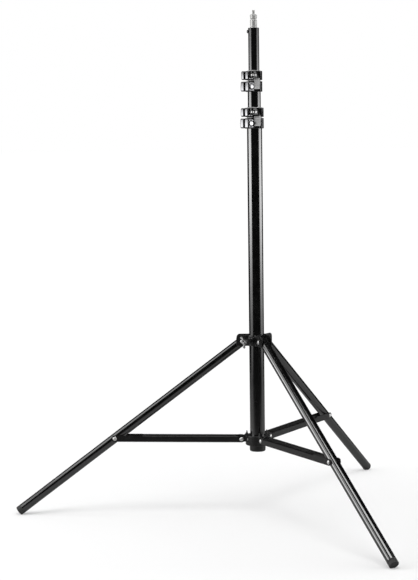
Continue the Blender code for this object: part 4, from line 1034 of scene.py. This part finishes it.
def lower_collar_distance(x, y, z):
    """The fixed casting: a ring and, for each brace, a hollow lug of two cheeks with a horn."""
    middle, half = span(LOWER_COLLAR_BASE, LOWER_COLLAR_TOP)
    across = np.hypot(x, y)
    solid = thick(across - LOWER_COLLAR_RADIUS, z - middle, half, 0.0015)
    for leg in LEG_AZIMUTHS:
        out, left = facing(x, y, LEG_AZIMUTHS[leg])
        side = outline_distance(out, z - BRACE_PIVOT_HEIGHT, LUG_OUTLINE)
        cheek = thick(side, np.abs(left) - LUG_HALF + LUG_WALL / 2, LUG_WALL / 2, 0.0009)
        solid = united(solid, cheek, 0.0016)
        web = thick(side + 0.0008, left, LUG_HALF - LUG_WALL / 2, 0.0005)
        web = np.maximum(web, np.maximum(out - 0.0300, z - BRACE_PIVOT_HEIGHT - 0.0060))
        solid = united(solid, web, 0.0012)
    out, left = facing(x, y, SET_SCREW_AZIMUTH)
    screw_hole = np.maximum(np.hypot(left, z - BRACE_PIVOT_HEIGHT) - 0.0030, -out)
    solid = cut(solid, screw_hole, 0.0005)
    return cut(solid, across - LOWER_COLLAR_BORE, 0.0007)


def collar_pieces():
    """The two black castings, each a level surface, and the set screw of the lower one."""
    for name, body, distance, reach, low, high in (
            ("leg_collar", "leg_collar", leg_collar_distance, CHEEK_REACH + 0.004,
             LEG_COLLAR_BASE, LEG_COLLAR_TOP + 0.002),
            ("lower_collar", "mast_base", lower_collar_distance, BRACE_PIVOT_RADIUS + LUG_END + 0.006,
             LOWER_COLLAR_BASE, BRACE_PIVOT_HEIGHT + 0.0195)):
        shell = level_shell(distance, (-reach, -reach, low - 0.002), (reach, reach, high), CASTING_STEP)
        make_piece(name + "_casting", [shell], CAST_PAINT, body, [name])
    seat = (Matrix.Translation((0, 0, BRACE_PIVOT_HEIGHT)) @ radial(SET_SCREW_AZIMUTH)
            @ Matrix.Translation((0, 0, OUTER_TUBE_RADIUS + SEAT_GAP)))
    length = LOWER_COLLAR_RADIUS - OUTER_TUBE_RADIUS - 2 * SEAT_GAP
    mouth = hexagon(FINE_TURN, 0.0028)
    radius = np.stack(np.broadcast_arrays(0, 0.0022, 0.0025, 0.0025, 0.0022, mouth, mouth, 0))
    level = np.array([0, 0, 0.0003, length - 0.0003, length, length, length - 0.002, length - 0.002])
    screw = moved(spun(radius, level[:, None], FINE_TURN), seat)
    make_piece("lower_collar_set_screw", [screw], ZINC, "mast_base", ["lower_collar_screw"])


RIVET_PROFILE = np.concatenate([domed(RIVET_HEAD_RADIUS, RIVET_HEAD), [[0.0, 0.0]]])


def rivet_shells(grip, place):
    """A rivet along Y through a stack of thickness grip: a shank and a domed head at each end."""
    half = grip / 2 + SEAT_GAP
    shank = rod(RIVET_RADIUS, -half - 0.0005, half + 0.0005, 0.0002, place @ lying(0, 0, 0), 24)
    return [turned(RIVET_PROFILE, SMALL_COLUMNS, place @ lying(0, half, 0)),
            turned(RIVET_PROFILE, SMALL_COLUMNS, place @ lying(0, -half, 0, -1)), shank]


def cheek_rivets(leg):
    """The two short headed pins that hold a leg between the collar's cheeks."""
    for cheek, side in (("left", 1), ("right", -1)):
        face = side * (CHEEK_INSIDE + CHEEK_THICKNESS + SEAT_GAP)
        seat = side_frame(leg) @ lying(LEG_PIVOT_RADIUS, face, LEG_PIVOT_HEIGHT, side)
        shells = [turned(RIVET_PROFILE, SMALL_COLUMNS, seat),
                  rod(RIVET_RADIUS, -CHEEK_THICKNESS - SEAT_GAP, 0.0004, 0.0002, seat, 24)]
        make_piece(f"leg_{leg}_{cheek}_pivot_head", shells, ZINC, "leg_collar",
                   [f"leg_{leg}_{cheek}_cheek_rivet"])


def lock_screw_pieces():
    """The wing screw: a metal wing fused to its stud, and a fluted black hub."""
    base = LOCK_BOSS_REACH + 0.0005
    top = base + 0.0255
    wing_base, wing_top = top - 0.008, top + 0.008
    place = (Matrix.Translation((0, 0, LOCK_HEIGHT)) @ radial(LOCK_AZIMUTH)
             @ Matrix.Rotation(LOCK_WING_TURN, 4, "Z"))
    line = rounded([(0.0033, base), (0.0061, base), (0.0061, wing_base - 0.0022),
                    (0.0050, wing_base - SEAT_GAP), (0.0033, wing_base - SEAT_GAP), (0.0033, base)],
                   [0.0006, 0.0012, 0.0005, 0])
    make_piece("lock_screw_fluted_hub", [turned(line, 96, place, flutes=12, flute_depth=0.0005)],
               BLACK_PLASTIC, "lock_screw", ["lock_screw_hub"])

    tip_x, tip_z, tip_radius = 0.0106, wing_top - 0.0042, 0.0038

    def wing(x, y, z):
        """Two lobes that spring from a barrel and swell to round tips."""
        bar = np.abs(x)
        share = np.clip((bar - 0.002) / (tip_x - 0.002), 0, 1)
        spine = (wing_base + 0.0052) * (1 - share) + tip_z * share
        width = 0.0046 * (1 - share) + tip_radius * share
        lobe = np.hypot(bar - (0.002 + (tip_x - 0.002) * share), z - spine) - width
        blade = thick(lobe, y, 0.0013, 0.0009)
        barrel = thick(np.hypot(x, y) - 0.0052, z - wing_base - 0.0045, 0.0045, 0.0009)
        stud = np.maximum(np.hypot(x, y) - 0.0030, np.abs(z - 0.034) - 0.0138)
        return united(united(blade, barrel, 0.0022), stud, 0.0003)

    shell = level_shell(wing, (-0.0185, -0.0065, 0.0198), (0.0185, 0.0065, wing_top + 0.001), WING_STEP)
    make_piece("lock_screw_wings", [moved(shell, place)], WING_METAL, "lock_screw", ["lock_screw_wing"])


# Braces

BRACE_TOP = 0.00735
BRACE_SHEET = 0.0015
BRACE_BEND = 0.0024
BRACE_END_REACH = 0.0080
WEB_START = 0.0095
WEB_SETBACK = 0.066
WEB_RELIEF = 0.003


def brace_mesh(leg):
    """A channel bent from sheet, open below, its web cut away towards both ends.

    Each flange is a grid: stations u along the brace, and columns from its lower edge up and round
    the bend. Beyond the web the bend straightens into the flange's flat top edge over WEB_RELIEF,
    and the flange's half height h(u) falls to nought as a half circle at each end. The web is a
    grid between the two bends whose end rows bow inwards.
    """
    end, radius = BRACE_LENGTH + BRACE_END_REACH, BRACE_TOP
    turn = np.linspace(0, math.pi / 2, 14)
    low_end = -BRACE_END_REACH + radius * (1 - np.cos(turn))
    stations = np.concatenate([
        low_end, np.linspace(low_end[-1], WEB_START, 12)[1:],
        np.linspace(WEB_START, BRACE_LENGTH - WEB_SETBACK, 40)[1:],
        np.linspace(BRACE_LENGTH - WEB_SETBACK, end - radius, 24)[1:],
        end - radius * (1 - np.sin(turn))[1:]])
    near = np.clip((-BRACE_END_REACH + radius - stations) / radius, 0, 1)
    far = np.clip((stations - end + radius) / radius, 0, 1)
    height = (radius * np.sqrt(np.maximum(1 - np.maximum(near, far) ** 2, 0)))[:, None]
    bent = (np.clip((stations - WEB_START + WEB_RELIEF) / WEB_RELIEF, 0, 1)
            * np.clip((BRACE_LENGTH - WEB_SETBACK + WEB_RELIEF - stations) / WEB_RELIEF, 0, 1))
    bent = (bent * bent * (3 - 2 * bent))[:, None]
    straight_top = height - BRACE_BEND * np.minimum(height / radius, 1)
    wall_z = -height + (straight_top + height) * np.linspace(0, 1, 9)[None, :]
    arc_turn = np.linspace(0, math.pi / 2, 6)[None, 1:]
    arc_y = BRACE_HALF - BRACE_BEND * (1 - np.cos(arc_turn)) * bent
    lift = np.sin(arc_turn) * bent + arc_turn / (math.pi / 2) * (1 - bent)
    flange_y = np.concatenate([np.full_like(wall_z, BRACE_HALF), arc_y], axis=1)
    flange_z = np.concatenate([wall_z, straight_top + (height - straight_top) * lift], axis=1)
    left = grid(stations[:, None], flange_y, flange_z)
    right = left * (1, -1, 1)
    first = int(np.argmin(np.abs(stations - WEB_START)))
    last = int(np.argmin(np.abs(stations - BRACE_LENGTH + WEB_SETBACK)))
    web_u = stations[first:last + 1, None]
    web_y = np.linspace(1, -1, 17)[None, :] * (BRACE_HALF - BRACE_BEND)
    bow = 0.006 * np.sqrt(np.maximum(1 - (web_y / (BRACE_HALF - BRACE_BEND)) ** 2, 0))
    share = (web_u - web_u[0]) / (web_u[-1] - web_u[0])
    web_x = web_u + bow * (np.maximum(1 - share * 6, 0) - np.maximum(1 - (1 - share) * 6, 0))
    shells = [grid_shell(left), grid_shell(right[:, ::-1]), grid_shell(grid(web_x, web_y, BRACE_TOP))]
    mesh = joined_mesh([moved(shell, brace_frame(leg)) for shell in shells])
    work = bmesh.new()
    work.from_mesh(mesh)
    if sum(face.normal.z * face.calc_area() for face in work.faces) < 0:
        bmesh.ops.reverse_faces(work, faces=work.faces)
        work.to_mesh(mesh)
    work.free()
    return mesh


def sheet_mesh(mesh):
    """The mesh as sheet: thickened inwards, its sharp edges broken."""
    drawn = new_object("shape", mesh)
    sheet = drawn.modifiers.new("Solidify", "SOLIDIFY")
    sheet.thickness, sheet.offset = BRACE_SHEET, -1.0
    sheet.use_even_offset, sheet.thickness_clamp = True, 0.0
    edge = drawn.modifiers.new("Bevel", "BEVEL")
    edge.width, edge.segments = 0.0003, 2
    edge.limit_method, edge.angle_limit = "ANGLE", math.radians(50)
    graph = bpy.context.evaluated_depsgraph_get()
    graph.update()
    result = bpy.data.meshes.new_from_object(drawn.evaluated_get(graph))
    bpy.data.objects.remove(drawn, do_unlink=True)
    return result


def brace_pieces(leg):
    """One brace bent from sheet, and the rivets at its two ends."""
    body = "brace_" + leg
    dress(body + "_channel", sheet_mesh(brace_mesh(leg)), BRACE_PAINT, body, [body])
    for label, along in (("collar", 0.0), ("leg", BRACE_LENGTH)):
        place = brace_frame(leg) @ Matrix.Translation((along, 0, 0))
        make_piece(f"{body}_{label}_rivet_heads", rivet_shells(2 * BRACE_HALF, place), ZINC, body,
                   [f"{body}_{label}_rivet"])


# Legs

LEG_JOINT_DISTANCE = 0.3797
LEG_LENGTH = 0.671
LEG_HEAD = 0.0045
LEG_WALL = 0.0012
FOOT_HEAD = 0.012
FOOT_STUB = 0.018
FOOT_EDGE = 0.0012


def leg_pieces(leg):
    """One leg tube, the plug in its top end, and its rubber foot with the flat it is worn to."""
    body, place = "leg_" + leg, leg_frame(leg)
    foot_end = LEG_JOINT_DISTANCE - LEG_LENGTH
    top = LEG_JOINT_DISTANCE + LEG_HEAD
    skin = pipe(LEG_RADIUS, LEG_RADIUS - LEG_WALL, foot_end + FOOT_HEAD + SEAT_GAP, top, 0.0004, place)
    make_piece(body + "_tube", [skin], TUBE_LACQUER, body, [body])
    stub = LEG_RADIUS - LEG_WALL - SEAT_GAP
    seat, rim = top + SEAT_GAP, LEG_RADIUS - 0.0002
    line = rounded([(0, seat + 0.0012), (0.0070, seat + 0.0010), (rim, seat + 0.0005), (rim, seat),
                    (stub, seat), (stub, top - 0.0008), (0, top - 0.0008)], [0.004, 0.0003, 0, 0, 0])
    make_piece(body + "_end_plug", [turned(line, SMALL_COLUMNS, place)], BLACK_PLASTIC, body,
               [body + "_top_plug"])

    head_top = foot_end + FOOT_HEAD
    radius = LEG_RADIUS + 0.0001
    groove = radius - 0.0006
    line = rounded([(0, foot_end), (radius, foot_end), (radius, foot_end + 0.0079),
                    (groove, foot_end + 0.0083), (groove, foot_end + 0.0093),
                    (radius, foot_end + 0.0097), (radius, head_top), (stub, head_top),
                    (stub, head_top + FOOT_STUB), (0, head_top + FOOT_STUB)],
                   [FOOT_EDGE, 0.0003, 0.0003, 0.0003, 0.0003, 0.0006, 0, 0.0008])
    sole = np.linspace((0, foot_end), (radius - FOOT_EDGE, foot_end), 16)[:-1]
    tip = turned(np.concatenate([sole, line[1:]]), TUBE_COLUMNS, place)
    tip[0][:, 2] = np.maximum(tip[0][:, 2], FLOOR_HEIGHT)
    make_piece("foot_" + leg + "_rubber_tip", [tip], RUBBER, body, ["foot_" + leg])


collar_pieces()
lock_screw_pieces()
for leg in LEG_AZIMUTHS:
    cheek_rivets(leg)
    brace_pieces(leg)
    leg_pieces(leg)

INSIDE_FINISHES = {"guide_bush": NYLON, "air_seal": RUBBER, "lock_screw_pad": BRASS}
for name, part in frame["nodes"].items():
    for ending, finish in INSIDE_FINISHES.items():
        if name.endswith(ending):
            part.data.materials.clear()
            part.data.materials.append(finish)


# Studio

BANK_FOOT, BANK_HEAD, BANK_BOXES = -0.15, 1.30, 16
BANK_LEAST = 0.5
UPPER_BOX_HEIGHT, UPPER_BOX_LENGTH = 2.1, 1.6
ROOM_LIGHT = 0.7
FLOOR_REACH = 60.0
PALE_CENTRE = (0.0, 0.35, 0.0)
PALE_SQUEEZE = (0.5, 1.0, 1.0)
PALE_EDGE = (0.8, 1.6)


def set_camera():
    """The camera stands in front of the mast, a little above its middle, and looks slightly down."""
    forward = np.array((math.sin(CAMERA_YAW) * math.cos(CAMERA_PITCH),
                        math.cos(CAMERA_YAW) * math.cos(CAMERA_PITCH), -math.sin(CAMERA_PITCH)))
    level = np.cross(forward, (0.0, 0.0, 1.0))
    level /= np.linalg.norm(level)
    upright = np.cross(level, forward)
    across = level * math.cos(CAMERA_ROLL) + upright * math.sin(CAMERA_ROLL)
    up = upright * math.cos(CAMERA_ROLL) - level * math.sin(CAMERA_ROLL)
    data = bpy.data.cameras.new("camera")
    data.sensor_fit = "VERTICAL"
    data.sensor_height = SENSOR_HEIGHT
    data.lens = CAMERA_LENS
    camera = new_object("camera", data)
    turn = Matrix(np.stack([across, up, -forward], axis=1).tolist()).to_4x4()
    camera.matrix_world = Matrix.Translation(CAMERA_PLACE) @ turn
    bpy.context.scene.camera = camera


def soft_box(name, place, target, width, height, radiance):
    """A rectangular lamp that faces a target; its power is radiance * pi * area."""
    data = bpy.data.lights.new(name, "AREA")
    data.shape = "RECTANGLE"
    data.size = width
    data.size_y = height
    data.energy = radiance * math.pi * width * height
    lamp = new_object(name, data)
    stand = Matrix.Translation(place)
    aim = Matrix.Translation(target).to_translation() - stand.to_translation()
    lamp.matrix_world = stand @ aim.to_track_quat("-Z", "Y").to_matrix().to_4x4()


def lamp_bank(name, x, y, width, peak, middle, spread, upper):
    """An upright row of soft boxes, and one more high above it.

    The radiance of the row at height z is BANK_LEAST + peak * exp(-((z - middle) / spread)^2).
    """
    edges = np.linspace(BANK_FOOT, BANK_HEAD, BANK_BOXES + 1)
    for foot, head in zip(edges[:-1], edges[1:]):
        height = (foot + head) / 2
        radiance = BANK_LEAST + peak * math.exp(-((height - middle) / spread) ** 2)
        soft_box(name, (x, y, height), (0, y, height), width, head - foot, radiance)
    soft_box(name, (x, y, UPPER_BOX_HEIGHT), (0, y, UPPER_BOX_HEIGHT), width, UPPER_BOX_LENGTH, upper)


def set_world():
    """A room of plain grey light that the camera sees as white.

    Gloss sees it grey low behind the stand and dark elsewhere.
    """
    world = bpy.data.worlds.new("studio")
    bpy.context.scene.world = world
    world.use_nodes = True
    tree = world.node_tree
    tree.nodes.clear()
    ahead = node(tree, "ShaderNodeTexCoord").outputs["Generated"]
    way = node(tree, "ShaderNodeSeparateXYZ", {0: ahead})
    back = ranged(tree, way.outputs["Y"], 0.90, 0.995, 0.025, 0.40)
    above = ranged(tree, way.outputs["Z"], 0.02, 0.12, 1.0, 0.06)
    gloss, plain, white = (
        node(tree, "ShaderNodeBackground", {"Color": (1, 1, 1, 1), "Strength": strength}).outputs[0]
        for strength in (maths(tree, "MULTIPLY", back, above), ROOM_LIGHT, 1.0))
    path = node(tree, "ShaderNodeLightPath").outputs
    lit = node(tree, "ShaderNodeMixShader", {0: path["Is Glossy Ray"], 1: plain, 2: gloss}).outputs[0]
    seen = node(tree, "ShaderNodeMixShader", {0: path["Is Camera Ray"], 1: lit, 2: white}).outputs[0]
    put(tree, seen, node(tree, "ShaderNodeOutputWorld").inputs["Surface"])


def set_floor():
    """A wide pale floor that shows nearly white to the camera and keeps the soft shadows."""
    mesh = bpy.data.meshes.new("floor")
    corners = [(x * FLOOR_REACH, y * FLOOR_REACH, FLOOR_HEIGHT)
               for x, y in ((-1, -1), (1, -1), (1, 1), (-1, 1))]
    mesh.from_pydata(corners, [], [(0, 1, 2, 3)])
    material, tree, shader = blank_finish("pale floor", Roughness=0.9, Specular_IOR_Level=0.1,
                                          Emission_Color=(1, 1, 1, 1))
    path = node(tree, "ShaderNodeLightPath").outputs
    behind = maths(tree, "SUBTRACT", own_place(tree), PALE_CENTRE, "VectorMath")
    wider = maths(tree, "MULTIPLY", behind, PALE_SQUEEZE, "VectorMath")
    away = node(tree, "ShaderNodeVectorMath", {0: wider}, operation="LENGTH").outputs["Value"]
    depth = node(tree, "ShaderNodeSeparateXYZ", {0: behind}).outputs["Y"]
    far = ranged(tree, away, *PALE_EDGE)
    shade = mixed(tree, far, mixed(tree, path["Is Glossy Ray"], 0.6, 0.3), 0.02)
    glow = mixed(tree, far, ranged(tree, depth, -1.0, 1.8, 0.20, 0.44), 1.0)
    put(tree, shade, shader.inputs["Base Color"])
    put(tree, maths(tree, "MULTIPLY", glow, path["Is Camera Ray"]), shader.inputs["Emission Strength"])
    mesh.materials.append(material)
    new_object("floor", mesh)


set_camera()
set_world()
set_floor()
lamp_bank("left bank", -2.2, -0.475, 1.95, 5.45, 0.622, 0.367, 1.9)
lamp_bank("right bank", 2.5, 0.08, 2.16, 4.74, 0.558, 0.387, 0.7)
soft_box("overhead", (0.1, -1.3, 3.3), (0, 0, 0.5), 2.0, 1.4, 4.8)

bpy.context.scene.view_settings.view_transform = "Standard"
